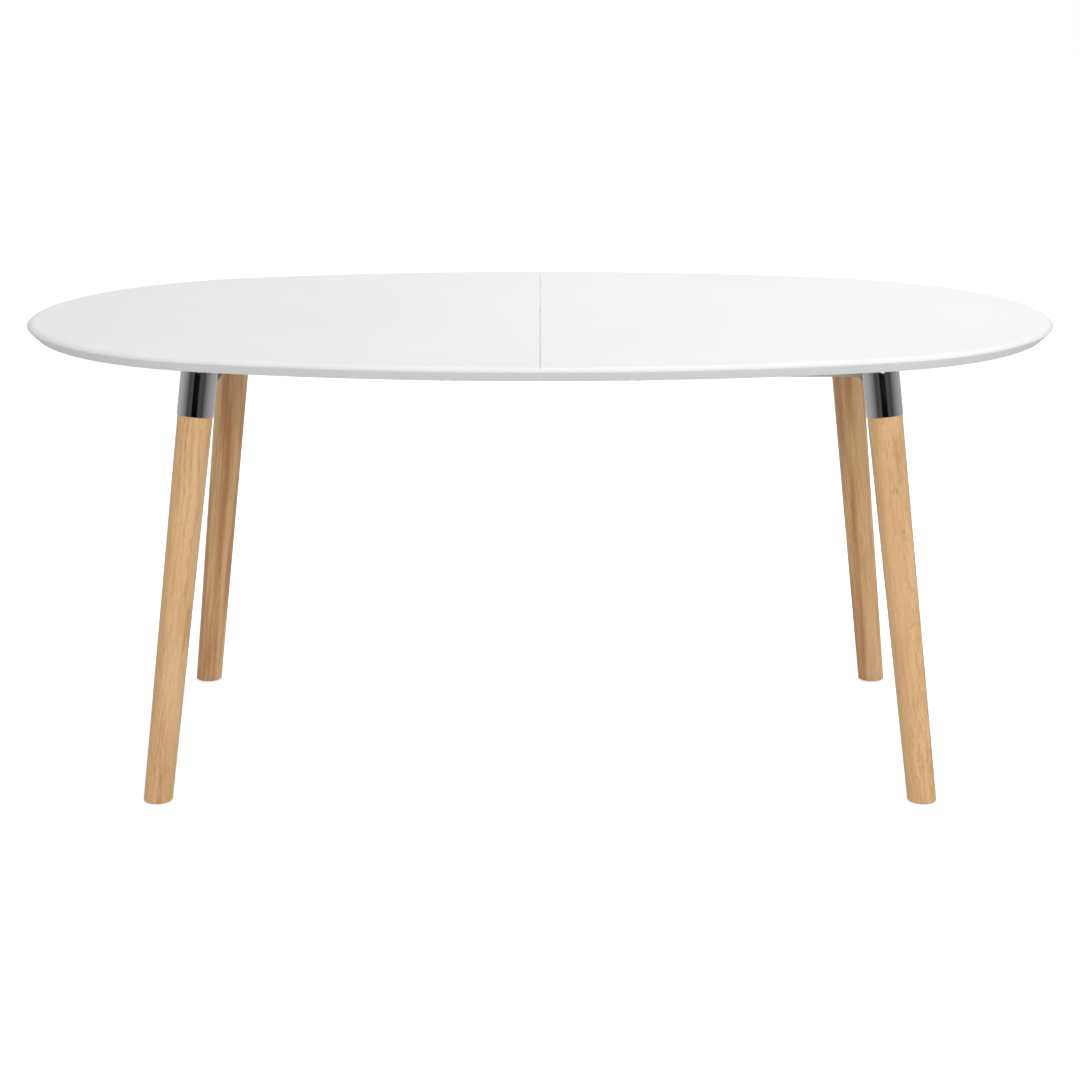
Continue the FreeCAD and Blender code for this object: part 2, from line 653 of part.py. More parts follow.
def rack(side, row):
    """A straight toothed bar under a channel; a tooth space faces the pinion at rest."""
    out = -side
    start, end = rack_span(side)
    tip = PITCH_RADIUS - GEAR_MODULE
    root = PITCH_RADIUS + DEDENDUM
    flank = math.tan(PRESSURE_ANGLE)
    half = TOOTH_PITCH / 4 - BACKLASH / 2
    at_root = half + DEDENDUM * flank
    at_tip = half - GEAR_MODULE * flank
    first = math.ceil((start + at_root) / TOOTH_PITCH - 0.5)
    last = math.floor((end - at_root) / TOOTH_PITCH - 0.5)
    points = [vec(start, runner_y(row, out * CHANNEL_BACK), RACK_BOTTOM),
              vec(start, runner_y(row, out * root), RACK_BOTTOM)]
    for i in range(first, last + 1):
        middle = (i + 0.5) * TOOTH_PITCH
        for shift, depth in ((-at_root, root), (-at_tip, tip), (at_tip, tip), (at_root, root)):
            points.append(vec(middle + shift, runner_y(row, out * depth), RACK_BOTTOM))
    points += [vec(end, runner_y(row, out * root), RACK_BOTTOM),
               vec(end, runner_y(row, out * CHANNEL_BACK), RACK_BOTTOM)]
    holes = [rack_screw_shank(side, row, x) for x in rack_screw_places(side)]
    return prism(points, UP * RACK_HEIGHT).cut(holes)


def involute(angle):
    return math.tan(angle) - angle


def tooth_points(turn):
    """Outline of one pinion tooth about an angle, root to tip and back."""
    base = PITCH_RADIUS * math.cos(PRESSURE_ANGLE)
    tip = PITCH_RADIUS + GEAR_MODULE
    root = PITCH_RADIUS - DEDENDUM
    at_pitch = math.pi / (2 * PINION_TEETH) - BACKLASH / (2 * PITCH_RADIUS)
    side = []
    for i in range(FLANK_STEPS + 1):
        r = base + (tip - base) * i / FLANK_STEPS
        lean = at_pitch + involute(PRESSURE_ANGLE) - involute(math.acos(base / r))
        side.append((r, lean))
    side.insert(0, (root, side[0][1]))
    rising = [(r, turn - lean) for r, lean in side]
    falling = [(r, turn + lean) for r, lean in reversed(side)]
    return rising + falling


def pinion(row):
    """A spur pinion on an upright pin, in mesh with the two racks of its runner set."""
    centre = vec(0, row * RUNNER_Y, PINION_BOTTOM)
    points = []
    for i in range(PINION_TEETH):
        for r, angle in tooth_points(math.pi / 2 + 2 * math.pi * i / PINION_TEETH):
            points.append(centre + vec(r * math.cos(angle), r * math.sin(angle), 0))
    bore = rod(PIN_RADIUS + PIN_FIT, centre - UP * OVERCUT, centre + UP * (PINION_FACE + OVERCUT))
    return prism(points, UP * PINION_FACE).cut(bore)


def pinion_pin_shank(row):
    y = row * RUNNER_Y
    low = PINION_BOTTOM - PINION_END_FLOAT
    return rod(PIN_RADIUS, vec(0, y, low), vec(0, y, HEAD_BOTTOM + PIN_SINK))


def pinion_pins():
    """Shoulder pins, screwed up into the middle runners, with a head under each pinion."""
    pins = []
    for row in (FRONT, REAR):
        seat = vec(0, row * RUNNER_Y, PINION_BOTTOM - PINION_END_FLOAT)
        head = rod(PIN_HEAD_RADIUS, seat - UP * PIN_HEAD_HEIGHT, seat)
        pins.append(fuse([pinion_pin_shank(row), head]))
    return group(pins)


# ---------------------------------------------------------------- carriage ties
def tie_screw_places():
    half = TIE_SCREW_PITCH / 2
    return [side * TIE_X + i * half for side in (LEFT, RIGHT) for i in (-1, 1)]


def tie_screw_shank(row, x):
    y = row * RUNNER_Y
    return rod(TIE_SCREW_RADIUS, vec(x, y, TIE_BOTTOM), vec(x, y, HEAD_BOTTOM + TIE_SCREW_SINK))


def tie_hanger(side, row):
    """A block that drops from the middle runner to a tie bar."""
    x, half = side * TIE_X, TIE_WIDTH / 2
    half_web = WEB_THICKNESS / 2
    hanger = bar(row, -half_web, half_web, x - half, x + half, TIE_TOP, HEAD_BOTTOM)
    return hanger.cut([tie_screw_shank(row, place) for place in tie_screw_places()])


def tie_bar(side):
    """A flat bar that joins the front and rear middle runners under the channels."""
    x, half = side * TIE_X, TIE_WIDTH / 2
    reach = RUNNER_Y + TIE_OVERHANG
    flat = block(x - half, x + half, -reach, reach, TIE_BOTTOM, TIE_TOP)
    holes = [tie_screw_shank(row, place) for row in (FRONT, REAR) for place in tie_screw_places()]
    return flat.cut(holes)


def tie_screws():
    screws = []
    for row in (FRONT, REAR):
        for x in tie_screw_places():
            seat = vec(x, row * RUNNER_Y, TIE_BOTTOM)
            head = rod(TIE_SCREW_HEAD_RADIUS, seat - UP * TIE_SCREW_HEAD_HEIGHT, seat)
            screws.append(fuse([tie_screw_shank(row, x), head]))
    return group(screws)


# ---------------------------------------------------------------- seam latches
def latch_plate(side, row):
    """Base plate of a latch on the left half, or of its strike on the right half."""
    x, half = latch_plate_span(side)
    y, j = row * LATCH_Y, LATCH_PLATE_WIDTH / 2
    plate = block(x - half, x + half, y - j, y + j, UNDERSIDE - LATCH_PLATE, UNDERSIDE)
    return plate.cut([screw_hole(sx, sy, LATCH_PLATE) for sx, sy in latch_screw_places(side, row)])


def latch_pin(x, row):
    """A headed pin that hangs from a latch or strike plate."""
    y = row * LATCH_Y
    top = UNDERSIDE - LATCH_PLATE
    seat = LATCH_BOTTOM - LATCH_END_FLOAT
    shank = rod(LATCH_PIN_RADIUS, vec(x, y, seat), vec(x, y, top))
    head = rod(LATCH_PIN_HEAD, vec(x, y, seat - LATCH_PIN_HEAD_HEIGHT), vec(x, y, seat))
    spacer_bottom = LATCH_TOP + LATCH_END_FLOAT
    spacer = rod(LATCH_PIN_HEAD, vec(x, y, spacer_bottom), vec(x, y, top))
    return fuse([shank, head, spacer])


def latch_pins(side):
    x = -LATCH_PIVOT_X if side == LEFT else STRIKE_X
    return group([latch_pin(x, row) for row in (FRONT, REAR)])


def latch_lever(row):
    """A flat lever, open at rest along the seam, with a hook that swings round the strike."""
    pivot = vec(-LATCH_PIVOT_X, row * LATCH_Y, LATCH_BOTTOM)
    half = LATCH_ARM_WIDTH / 2
    inward = -row
    arm = block(pivot.x - half, pivot.x + half, pivot.y, pivot.y + inward * LATCH_ARM,
                LATCH_BOTTOM, LATCH_TOP)

    def through(radius, centre):
        """A bore right through the lever, with an overcut at both faces."""
        return rod(radius, centre - UP * OVERCUT, centre + UP * (LATCH_METAL + OVERCUT))

    tip = pivot + vec(0, inward * LATCH_ARM, 0)
    strike = pivot + vec(0, inward * LATCH_THROW, 0)
    boss = rod(half, pivot, pivot + UP * LATCH_METAL)
    nose = rod(half, tip, tip + UP * LATCH_METAL)
    gap = LATCH_PIN_RADIUS + LATCH_SLOT_FIT
    ring = through(LATCH_THROW + gap, pivot).cut(through(LATCH_THROW - gap, pivot))
    mouth = block(pivot.x, pivot.x + LATCH_ARM, pivot.y, pivot.y + inward * 2 * LATCH_ARM,
                  LATCH_BOTTOM - OVERCUT, LATCH_TOP + OVERCUT)
    holes = [through(LATCH_PIN_RADIUS + LATCH_PIN_FIT, pivot), ring.common(mouth),
             through(gap, strike), through(KNOB_NECK, tip)]
    return fuse([arm, boss, nose]).cut(holes)


def latch_knob(row):
    """A finger knob under the end of a latch lever."""
    foot = vec(-LATCH_PIVOT_X, row * (LATCH_Y - LATCH_ARM), LATCH_BOTTOM)
    neck = rod(KNOB_NECK, foot, foot + UP * LATCH_METAL)
    body = rod(KNOB_RADIUS, foot - UP * KNOB_HEIGHT, foot)
    rim = [e for e in body.Edges if e.BoundBox.ZMax < foot.z - KNOB_HEIGHT + NEAR]
    return fuse([body.makeFillet(KNOB_ROUND, rim), neck])


# ---------------------------------------------------------------- the nodes
def half_nodes(side):
    """Everything that belongs to one half of the table."""
    name = SIDE_NAME[side]
    nodes = {
        "tabletop_" + name: top_half(side),
        "end_rail_" + name: end_rail(side),
        "runner_brackets_" + name: brackets(side),
        "runner_rivets_" + name: runner_rivets(side),
        "runner_stops_" + name: group([stop_pin(side, row) for row in (FRONT, REAR)]),
        "rack_screws_" + name: rack_screws(side),
        "leg_bolts_" + name: group([leg_bolt(side, row) for row in (FRONT, REAR)]),
        "foot_glides_" + name: group([glide(side, row) for row in (FRONT, REAR)]),
        "wood_screws_" + name: group([wood_screw(*seat) for seat in screw_seats(side)]),
    }
    fitting = "latch" if side == LEFT else "strike"
    nodes[fitting + "_plates"] = group([latch_plate(side, row) for row in (FRONT, REAR)])
    nodes[fitting + "_pins"] = latch_pins(side)
    for row in (FRONT, REAR):
        corner = "_" + ROW_NAME[row] + "_" + name
        nodes["leg" + corner] = leg(side, row)
        nodes["leg_collar" + corner] = collar(side, row)
        nodes["leg_plate" + corner] = leg_plate(side, row)
        nodes["runner_channel" + corner] = channel(side, row)
        nodes["rack" + corner] = rack(side, row)
    return nodes


def carriage_nodes():
    """The middle members of the runners and what joins them."""
    nodes = {
        "slide_pads": slide_pads(),
        "pinion_pins": pinion_pins(),
        "tie_screws": tie_screws(),
        "tie_hangers": group([tie_hanger(side, row)
                              for side in (LEFT, RIGHT) for row in (FRONT, REAR)]),
    }
    for side in (LEFT, RIGHT):
        nodes["tie_bar_" + SIDE_NAME[side]] = tie_bar(side)
    for row in (FRONT, REAR):
        nodes["middle_runner_" + ROW_NAME[row]] = middle_runner(row)
    return nodes


def small_mover_nodes():
    """The pinions and the seam latches, which turn on their own pins."""
    nodes = {"seam_dowels": seam_dowels()}
    for row in (FRONT, REAR):
        name = ROW_NAME[row]
        nodes["pinion_" + name] = pinion(row)
        nodes["latch_lever_" + name] = latch_lever(row)
        nodes["latch_knob_" + name] = latch_knob(row)
    return nodes


os.makedirs("parts", exist_ok=True)
all_nodes = {}
for half in (LEFT, RIGHT):
    all_nodes.update(half_nodes(half))
all_nodes.update(carriage_nodes())
all_nodes.update(small_mover_nodes())
for node, shape in all_nodes.items():
    save(node, shape)
print(len(all_nodes), "nodes")
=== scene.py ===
import logging
import math
from dataclasses import dataclass, field
from enum import Enum
from functools import lru_cache
from typing import Callable, Optional, Sequence, Union

import bmesh
import bpy
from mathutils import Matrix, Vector


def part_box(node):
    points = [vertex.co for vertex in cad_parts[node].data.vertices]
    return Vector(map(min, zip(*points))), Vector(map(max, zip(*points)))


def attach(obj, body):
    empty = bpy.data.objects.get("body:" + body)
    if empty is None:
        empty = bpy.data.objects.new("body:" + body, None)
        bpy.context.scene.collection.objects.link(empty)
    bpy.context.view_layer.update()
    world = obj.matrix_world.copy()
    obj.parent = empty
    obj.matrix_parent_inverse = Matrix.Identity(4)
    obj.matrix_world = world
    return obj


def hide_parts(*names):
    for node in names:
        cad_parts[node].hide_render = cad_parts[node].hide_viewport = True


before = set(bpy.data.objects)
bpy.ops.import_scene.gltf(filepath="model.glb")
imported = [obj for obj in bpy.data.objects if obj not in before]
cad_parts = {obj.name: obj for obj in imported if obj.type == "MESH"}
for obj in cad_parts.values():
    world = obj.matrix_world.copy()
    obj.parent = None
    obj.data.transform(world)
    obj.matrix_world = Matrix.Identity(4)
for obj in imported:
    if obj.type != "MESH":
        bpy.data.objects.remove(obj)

# An oval extending dining table: white lacquered halves on splayed oak legs with polished
# collars, and the sliding gear under the top. Lengths are in metres.

LOG = logging.getLogger("table")
TAU = 2 * math.pi
MM = 0.001
BEAD_POINTS = 320
SOCKET_POINTS = 32
EAST, NORTH, UP = Vector((1, 0, 0)), Vector((0, 1, 0)), Vector((0, 0, 1))

Point = tuple[float, float, float]
Value = Union["Num", float]
Color = tuple[float, float, float, float]


class Side(Enum):
    """The half of the table that a part belongs to."""

    LEFT = -1
    RIGHT = 1

    @property
    def word(self) -> str:
        """The side as it stands in a node's name."""
        return self.name.lower()

    @property
    def body(self) -> str:
        """The body that the side's parts ride on."""
        return f"{self.word}_half"


class Row(Enum):
    """Front or rear of the table."""

    FRONT = -1
    REAR = 1

    @property
    def word(self) -> str:
        """The row as it stands in a node's name."""
        return self.name.lower()


CORNERS = [(row, side) for row in Row for side in Side]


# ------------------------------------------------------------------ node maths
@dataclass(frozen=True)
class Num:
    """A number socket that takes part in Python expressions."""

    bench: "Tree"
    socket: bpy.types.NodeSocket

    def _math(self, operation: str, *values: Value) -> "Num":
        """Add one Math node.

        Args:
            operation: the Math node's operation.
            values: its inputs, in order.

        Returns:
            The node's result.
        """
        node = self.bench.node("ShaderNodeMath", {"operation": operation},
                               dict(enumerate(values)))
        return Num(self.bench, node.outputs[0])

    def __add__(self, other: Value) -> "Num":
        """Sum."""
        return self._math("ADD", self, other)

    def __radd__(self, other: Value) -> "Num":
        """Sum, with the plain number first."""
        return self._math("ADD", other, self)

    def __sub__(self, other: Value) -> "Num":
        """Difference."""
        return self._math("SUBTRACT", self, other)

    def __rsub__(self, other: Value) -> "Num":
        """Difference, with the plain number first."""
        return self._math("SUBTRACT", other, self)

    def __mul__(self, other: Value) -> "Num":
        """Product."""
        return self._math("MULTIPLY", self, other)

    def __rmul__(self, other: Value) -> "Num":
        """Product, with the plain number first."""
        return self._math("MULTIPLY", other, self)

    def __truediv__(self, other: Value) -> "Num":
        """Quotient."""
        return self._math("DIVIDE", self, other)

    def __rtruediv__(self, other: Value) -> "Num":
        """Quotient, with the plain number first."""
        return self._math("DIVIDE", other, self)

    def __pow__(self, other: Value) -> "Num":
        """Power."""
        return self._math("POWER", self, other)

    def __abs__(self) -> "Num":
        """Size without the sign."""
        return self._math("ABSOLUTE", self)

    def sine(self) -> "Num":
        """Sine of the value in radians."""
        return self._math("SINE", self)

    def cosine(self) -> "Num":
        """Cosine of the value in radians."""
        return self._math("COSINE", self)

    def root(self) -> "Num":
        """Square root."""
        return self._math("SQRT", self)

    def sign(self) -> "Num":
        """1, 0 or -1."""
        return self._math("SIGN", self)

    def at_least(self, floor: Value) -> "Num":
        """The larger of two values."""
        return self._math("MAXIMUM", self, floor)

    def at_most(self, ceiling: Value) -> "Num":
        """The smaller of two values."""
        return self._math("MINIMUM", self, ceiling)

    def turn_from(self, base: Value) -> "Num":
        """Angle of the point whose sine side is this value and whose cosine side is base."""
        return self._math("ARCTAN2", self, base)

    def step(self, low: float, high: float) -> "Num":
        """Smooth step from 0 at low to 1 at high.

        Args:
            low: value that gives 0.
            high: value that gives 1.

        Returns:
            The stepped value.
        """
        settings = {"interpolation_type": "SMOOTHSTEP"}
        node = self.bench.node("ShaderNodeMapRange", settings,
                               {"Value": self, "From Min": low, "From Max": high})
        return Num(self.bench, node.outputs[0])


class Tree:
    """A node tree, with one way to add any node."""

    tree: bpy.types.NodeTree

    def node(self, kind: str, settings: Optional[dict] = None,
             inputs: Optional[dict] = None) -> bpy.types.Node:
        """Add a node.

        Args:
            kind: the node's type.
            settings: properties to set first; "stops" fills a colour ramp.
            inputs: sockets by name or index, each with a value, a Num, a socket, or a list
                of sockets where several are joined.

        Returns:
            The new node.
        """
        made = self.tree.nodes.new(kind)
        for name, value in (settings or {}).items():
            if name == "stops":
                self._fill_ramp(made.color_ramp, value)
            else:
                setattr(made, name, value)
        for key, value in (inputs or {}).items():
            for part in value if isinstance(value, list) else [value]:
                source = part.socket if isinstance(part, Num) else part
                if isinstance(source, bpy.types.NodeSocket):
                    self.tree.links.new(source, made.inputs[key])
                else:
                    made.inputs[key].default_value = source
        return made

    @staticmethod
    def _fill_ramp(ramp: bpy.types.ColorRamp, stops: Sequence[tuple[float, Color]]) -> None:
        """Set a ramp's stops.

        Args:
            ramp: the ramp, with its two first stops.
            stops: position and colour of each stop.
        """
        while len(ramp.elements) < len(stops):
            ramp.elements.new(0.5)
        for element, (place, color) in zip(ramp.elements, stops):
            element.position = place
            element.color = color

    def parts(self, vector: bpy.types.NodeSocket) -> tuple[Num, Num, Num]:
        """Split a vector into its three numbers."""
        node = self.node("ShaderNodeSeparateXYZ", {}, {0: vector})
        return tuple(Num(self, out) for out in node.outputs)

    def vector(self, x: Value = 0.0, y: Value = 0.0, z: Value = 0.0) -> bpy.types.NodeSocket:
        """A vector from three numbers."""
        return self.node("ShaderNodeCombineXYZ", {}, {0: x, 1: y, 2: z}).outputs[0]


@dataclass
class Bench(Tree):
    """A shader's node tree, with the textures and mixes that the finishes share."""

    tree: bpy.types.NodeTree
    _vector: Optional[bpy.types.NodeSocket] = None

    @property
    def seen(self) -> Num:
        """1 for what the camera sees directly, 0 for light that has bounced."""
        return Num(self, self.node("ShaderNodeLightPath").outputs["Is Camera Ray"])

    @property
    def place(self) -> bpy.types.NodeSocket:
        """The point on the object, in its own coordinates."""
        if self._vector is None:
            self._vector = self.node("ShaderNodeTexCoord").outputs["Object"]
        return self._vector

    def moved(self, origin: Point, turn: Point) -> bpy.types.NodeSocket:
        """Coordinates about a place, turned with a part.

        Args:
            origin: the place that becomes zero.
            turn: the part's own turn, in radians.

        Returns:
            The moved coordinates.
        """
        node = self.node("ShaderNodeMapping", {"vector_type": "TEXTURE"},
                         {"Vector": self.place, "Location": origin, "Rotation": turn})
        return node.outputs[0]

    def stretched(self, vector: bpy.types.NodeSocket, scale: Point) -> bpy.types.NodeSocket:
        """Scale coordinates by a different amount on each axis.

        Args:
            vector: the coordinates.
            scale: the three factors.

        Returns:
            The scaled coordinates.
        """
        node = self.node("ShaderNodeVectorMath", {"operation": "MULTIPLY"},
                         {0: vector, 1: scale})
        return node.outputs[0]

    def noise(self, vector: bpy.types.NodeSocket, scale: float, detail: float = 3.0,
              roughness: float = 0.5, distortion: float = 0.0) -> Num:
        """Add a noise texture.

        Args:
            vector: its coordinates.
            scale: its scale.
            detail: octaves.
            roughness: weight of the finer octaves.
            distortion: how far it is warped by itself.

        Returns:
            The noise, about 0 to 1.
        """
        node = self.node("ShaderNodeTexNoise", {}, {
            "Vector": vector, "Scale": scale, "Detail": detail,
            "Roughness": roughness, "Distortion": distortion})
        return Num(self, node.outputs["Fac"])

    def mix(self, amount: Value, first: object, second: object,
            mode: str = "MIX") -> bpy.types.NodeSocket:
        """Mix two colours.

        Args:
            amount: 0 gives the first colour and 1 the second.
            first: a colour or a colour socket.
            second: a colour or a colour socket.
            mode: the Mix node's blend mode.

        Returns:
            The mixed colour.
        """
        node = self.node("ShaderNodeMix", {"data_type": "RGBA", "blend_type": mode},
                         {0: amount, 6: first, 7: second})
        return node.outputs[2]

    def bump(self, height: Num, strength: float, distance: float) -> bpy.types.NodeSocket:
        """Turn a height into a normal.

        Args:
            height: the height pattern.
            strength: how strongly it shows.
            distance: depth of the pattern, in metres.

        Returns:
            The bumped normal.
        """
        node = self.node("ShaderNodeBump", {}, {
            "Strength": strength, "Distance": distance, "Height": height})
        return node.outputs[0]


@dataclass(frozen=True)
class Finish:
    """A surface finish. Each kind of finish fills in its own nodes."""

    name: str
    slot: str

    def material(self) -> bpy.types.Material:
        """Make the finish, or return it if it is there already."""
        found = bpy.data.materials.get(self.name)
        if found:
            return found
        made = bpy.data.materials.new(self.name)
        made.use_nodes = True
        made.node_tree.nodes.clear()
        bench = Bench(made.node_tree)
        shader = self.shade(bench)
        bench.node("ShaderNodeOutputMaterial", {}, {"Surface": shader.outputs[0]})
        return made

    def shade(self, bench: Bench) -> bpy.types.Node:
        """Build the finish's shader on a bench and return its last node."""
        raise NotImplementedError


@dataclass(frozen=True)
class Lacquer(Finish):
    """Sprayed satin lacquer on smooth board."""

    color: Color = (0.775, 0.777, 0.785, 1)
    shade_color: Color = (0.752, 0.754, 0.762, 1)
    roughness: float = 0.44

    def shade(self, bench: Bench) -> bpy.types.Node:
        """Near-white colour with a faint cloud, spray texture and rubbed patches."""
        cloud = bench.noise(bench.place, 2.2, 3.0)
        color = bench.mix(cloud.step(0.3, 0.7), self.color, self.shade_color)
        rubbed = bench.noise(bench.place, 14.0, 4.0, 0.6)
        peel = bench.noise(bench.place, 420.0, 2.0)
        dust = bench.noise(bench.place, 2600.0, 1.0).step(0.70, 0.78)
        height = peel * 0.8 + dust * 0.5
        return bench.node("ShaderNodeBsdfPrincipled", {}, {
            "Base Color": color, "Roughness": rubbed * 0.10 + (self.roughness - 0.05),
            "Coat Weight": 0.06, "Coat Roughness": 0.40, "Specular IOR Level": 0.30,
            "Normal": bench.bump(height, 0.05, 0.00005)})


@dataclass(frozen=True)
class Oak(Finish):
    """Clear-finished oak whose grain runs along a part's own length."""

    origin: Point = (0.0, 0.0, 0.0)
    turn: Point = (0.0, 0.0, 0.0)
    pith: tuple[float, float] = (0.05, 0.03)
    light: Color = (0.83, 0.525, 0.25, 1)
    deep: Color = (0.56, 0.285, 0.105, 1)
    pale: Color = (0.90, 0.64, 0.37, 1)
    heart: Color = (0.53, 0.215, 0.075, 1)
    pore: Color = (0.25, 0.115, 0.045, 1)
    heartwood: float = 0.15
    ring_gap: float = 0.0062
    lean: float = 0.030

    def shade(self, bench: Bench) -> bpy.types.Node:
        """Growth rings round an off-centre pith, with brown bands, open pores and ray flecks."""
        at = bench.moved(self.origin, self.turn)
        x, y, z = bench.parts(at)
        sway = (bench.noise(bench.stretched(at, (9.0, 9.0, 2.2)), 1.0, 2.0) - 0.5) * 0.040
        waver = (bench.noise(bench.stretched(at, (110.0, 110.0, 34.0)), 1.0, 3.0) - 0.5) * 0.0090
        bent = bench.vector(x + waver * 1.2, y + waver * 0.9, z)
        east = x - self.pith[0] + sway + z * self.lean
        north = y - self.pith[1] + waver
        radius = (east * east + north * north).root() + waver
        ring = (radius * (TAU / self.ring_gap)).sine() * 0.5 + 0.5
        figure = bench.noise(bench.stretched(at, (34.0, 34.0, 3.5)), 1.0, 2.0).step(0.38, 0.62)
        early = ring ** 3.0 * (figure * 0.75 + 0.25)

        pores = bench.noise(bench.stretched(at, (1500.0, 1500.0, 55.0)), 1.0, 2.0, 0.6)
        open_pore = pores.step(0.56, 0.66) * (early * 0.75 + 0.25)
        dashes = bench.noise(bench.stretched(bent, (480.0, 480.0, 62.0)), 1.0, 2.0, 0.6)
        dash = dashes.step(0.55, 0.66) * (early * 0.8 + 0.12)
        fibre = bench.noise(bench.stretched(at, (420.0, 420.0, 9.0)), 1.0, 3.0, 0.65)
        streak = bench.noise(bench.stretched(bent, (140.0, 140.0, 9.0)), 1.0, 3.0, 0.6)
        band = bench.noise(bench.stretched(at, (42.0, 42.0, 2.4)), 1.0, 3.0, 0.55)
        fleck = bench.noise(bench.stretched(at, (170.0, 620.0, 60.0)), 1.0, 2.0).step(0.62, 0.72)
        drift = bench.noise(bench.stretched(at, (14.0, 14.0, 4.5)), 1.0, 2.0)

        color = bench.mix(early * 0.42 + (fibre - 0.5) * 0.5, self.light, self.deep)
        color = bench.mix(streak.step(0.45, 0.70) * 0.34, color, self.deep)
        color = bench.mix(drift.step(0.38, 0.66) * 0.42, color, self.pale)
        color = bench.mix(band.step(0.42, 0.62) * self.heartwood, color, self.heart)
        color = bench.mix(fleck * 0.22, color, self.pale)
        color = bench.mix(dash * 0.8, color, self.heart)
        color = bench.mix(open_pore * 0.5, color, self.pore)
        height = fibre * 0.25 - open_pore * 1.0 - early * 0.1
        return bench.node("ShaderNodeBsdfPrincipled", {}, {
            "Base Color": color, "Roughness": open_pore * 0.20 + fibre * 0.12 + 0.36,
            "Coat Weight": 0.12, "Coat Roughness": 0.35, "IOR": 1.47,
            "Normal": bench.bump(height, 0.30, 0.00015)})


@dataclass(frozen=True)
class Metal(Finish):
    """Bare or plated metal, with marks that run along one direction."""

    color: Color = (0.62, 0.62, 0.64, 1)
    tint: Color = (0.56, 0.565, 0.58, 1)
    roughness: float = 0.25
    roughness_spread: float = 0.12
    grain: Point = (30.0, 30.0, 30.0)
    origin: Point = (0.0, 0.0, 0.0)
    turn: Point = (0.0, 0.0, 0.0)
    depth: float = 0.00002
    bump: float = 0.15

    def shade(self, bench: Bench) -> bpy.types.Node:
        """Metal with drawn or ground lines, handling marks and a slight tint."""
        at = bench.moved(self.origin, self.turn)
        lines = bench.noise(bench.stretched(at, self.grain), 1.0, 3.0, 0.6)
        marks = bench.noise(at, 38.0, 4.0, 0.65)
        cloud = bench.noise(at, 9.0, 2.0)
        color = bench.mix(cloud.step(0.35, 0.7), self.color, self.tint)
        rough = lines * self.roughness_spread + marks.step(0.5, 0.75) * 0.06 + self.roughness
        return bench.node("ShaderNodeBsdfPrincipled", {}, {
            "Base Color": color, "Metallic": 1.0, "Roughness": rough,
            "Normal": bench.bump(lines, self.bump, self.depth)})


@dataclass(frozen=True)
class Coating(Finish):
    """Powder coat or moulded plastic: one colour with a fine skin texture."""

    color: Color = (0.02, 0.02, 0.022, 1)
    worn: Color = (0.05, 0.05, 0.052, 1)
    roughness: float = 0.48
    skin: float = 900.0
    strength: float = 0.35
    depth: float = 0.00008
    gloss: float = 0.5

    def shade(self, bench: Bench) -> bpy.types.Node:
        """A textured skin with paler rubbed places."""
        skin = bench.noise(bench.place, self.skin, 2.0)
        rub = bench.noise(bench.place, 23.0, 4.0, 0.7).step(0.52, 0.72)
        color = bench.mix(rub * 0.6, self.color, self.worn)
        return bench.node("ShaderNodeBsdfPrincipled", {}, {
            "Base Color": color, "Roughness": skin * 0.16 + rub * 0.08 + (self.roughness - 0.1),
            "Specular IOR Level": self.gloss,
            "Normal": bench.bump(skin, self.strength, self.depth)})


@dataclass(frozen=True)
class Ground(Finish):
    """A plain pale studio floor that glows to the eye and is clear from below."""

    color: Color = (0.80, 0.80, 0.80, 1)
    glow: float = 0.56

    def shade(self, bench: Bench) -> bpy.types.Node:
        """A matt pale sheet with the faintest unevenness."""
        cloud = bench.noise(bench.place, 0.6, 2.0)
        near = (*(part * 0.99 for part in self.color[:3]), 1)
        sheet = bench.node("ShaderNodeBsdfPrincipled", {}, {
            "Base Color": bench.mix(cloud, self.color, near), "Roughness": 0.9,
            "Specular IOR Level": 0.1, "Emission Strength": self.glow,
            "Emission Color": bench.mix(bench.seen, (0, 0, 0, 1), (1, 1, 1, 1))})
        clear = bench.node("ShaderNodeBsdfTransparent")
        below = bench.node("ShaderNodeNewGeometry").outputs["Backfacing"]
        return bench.node("ShaderNodeMixShader", {}, {
            0: below, 1: sheet.outputs[0], 2: clear.outputs[0]})


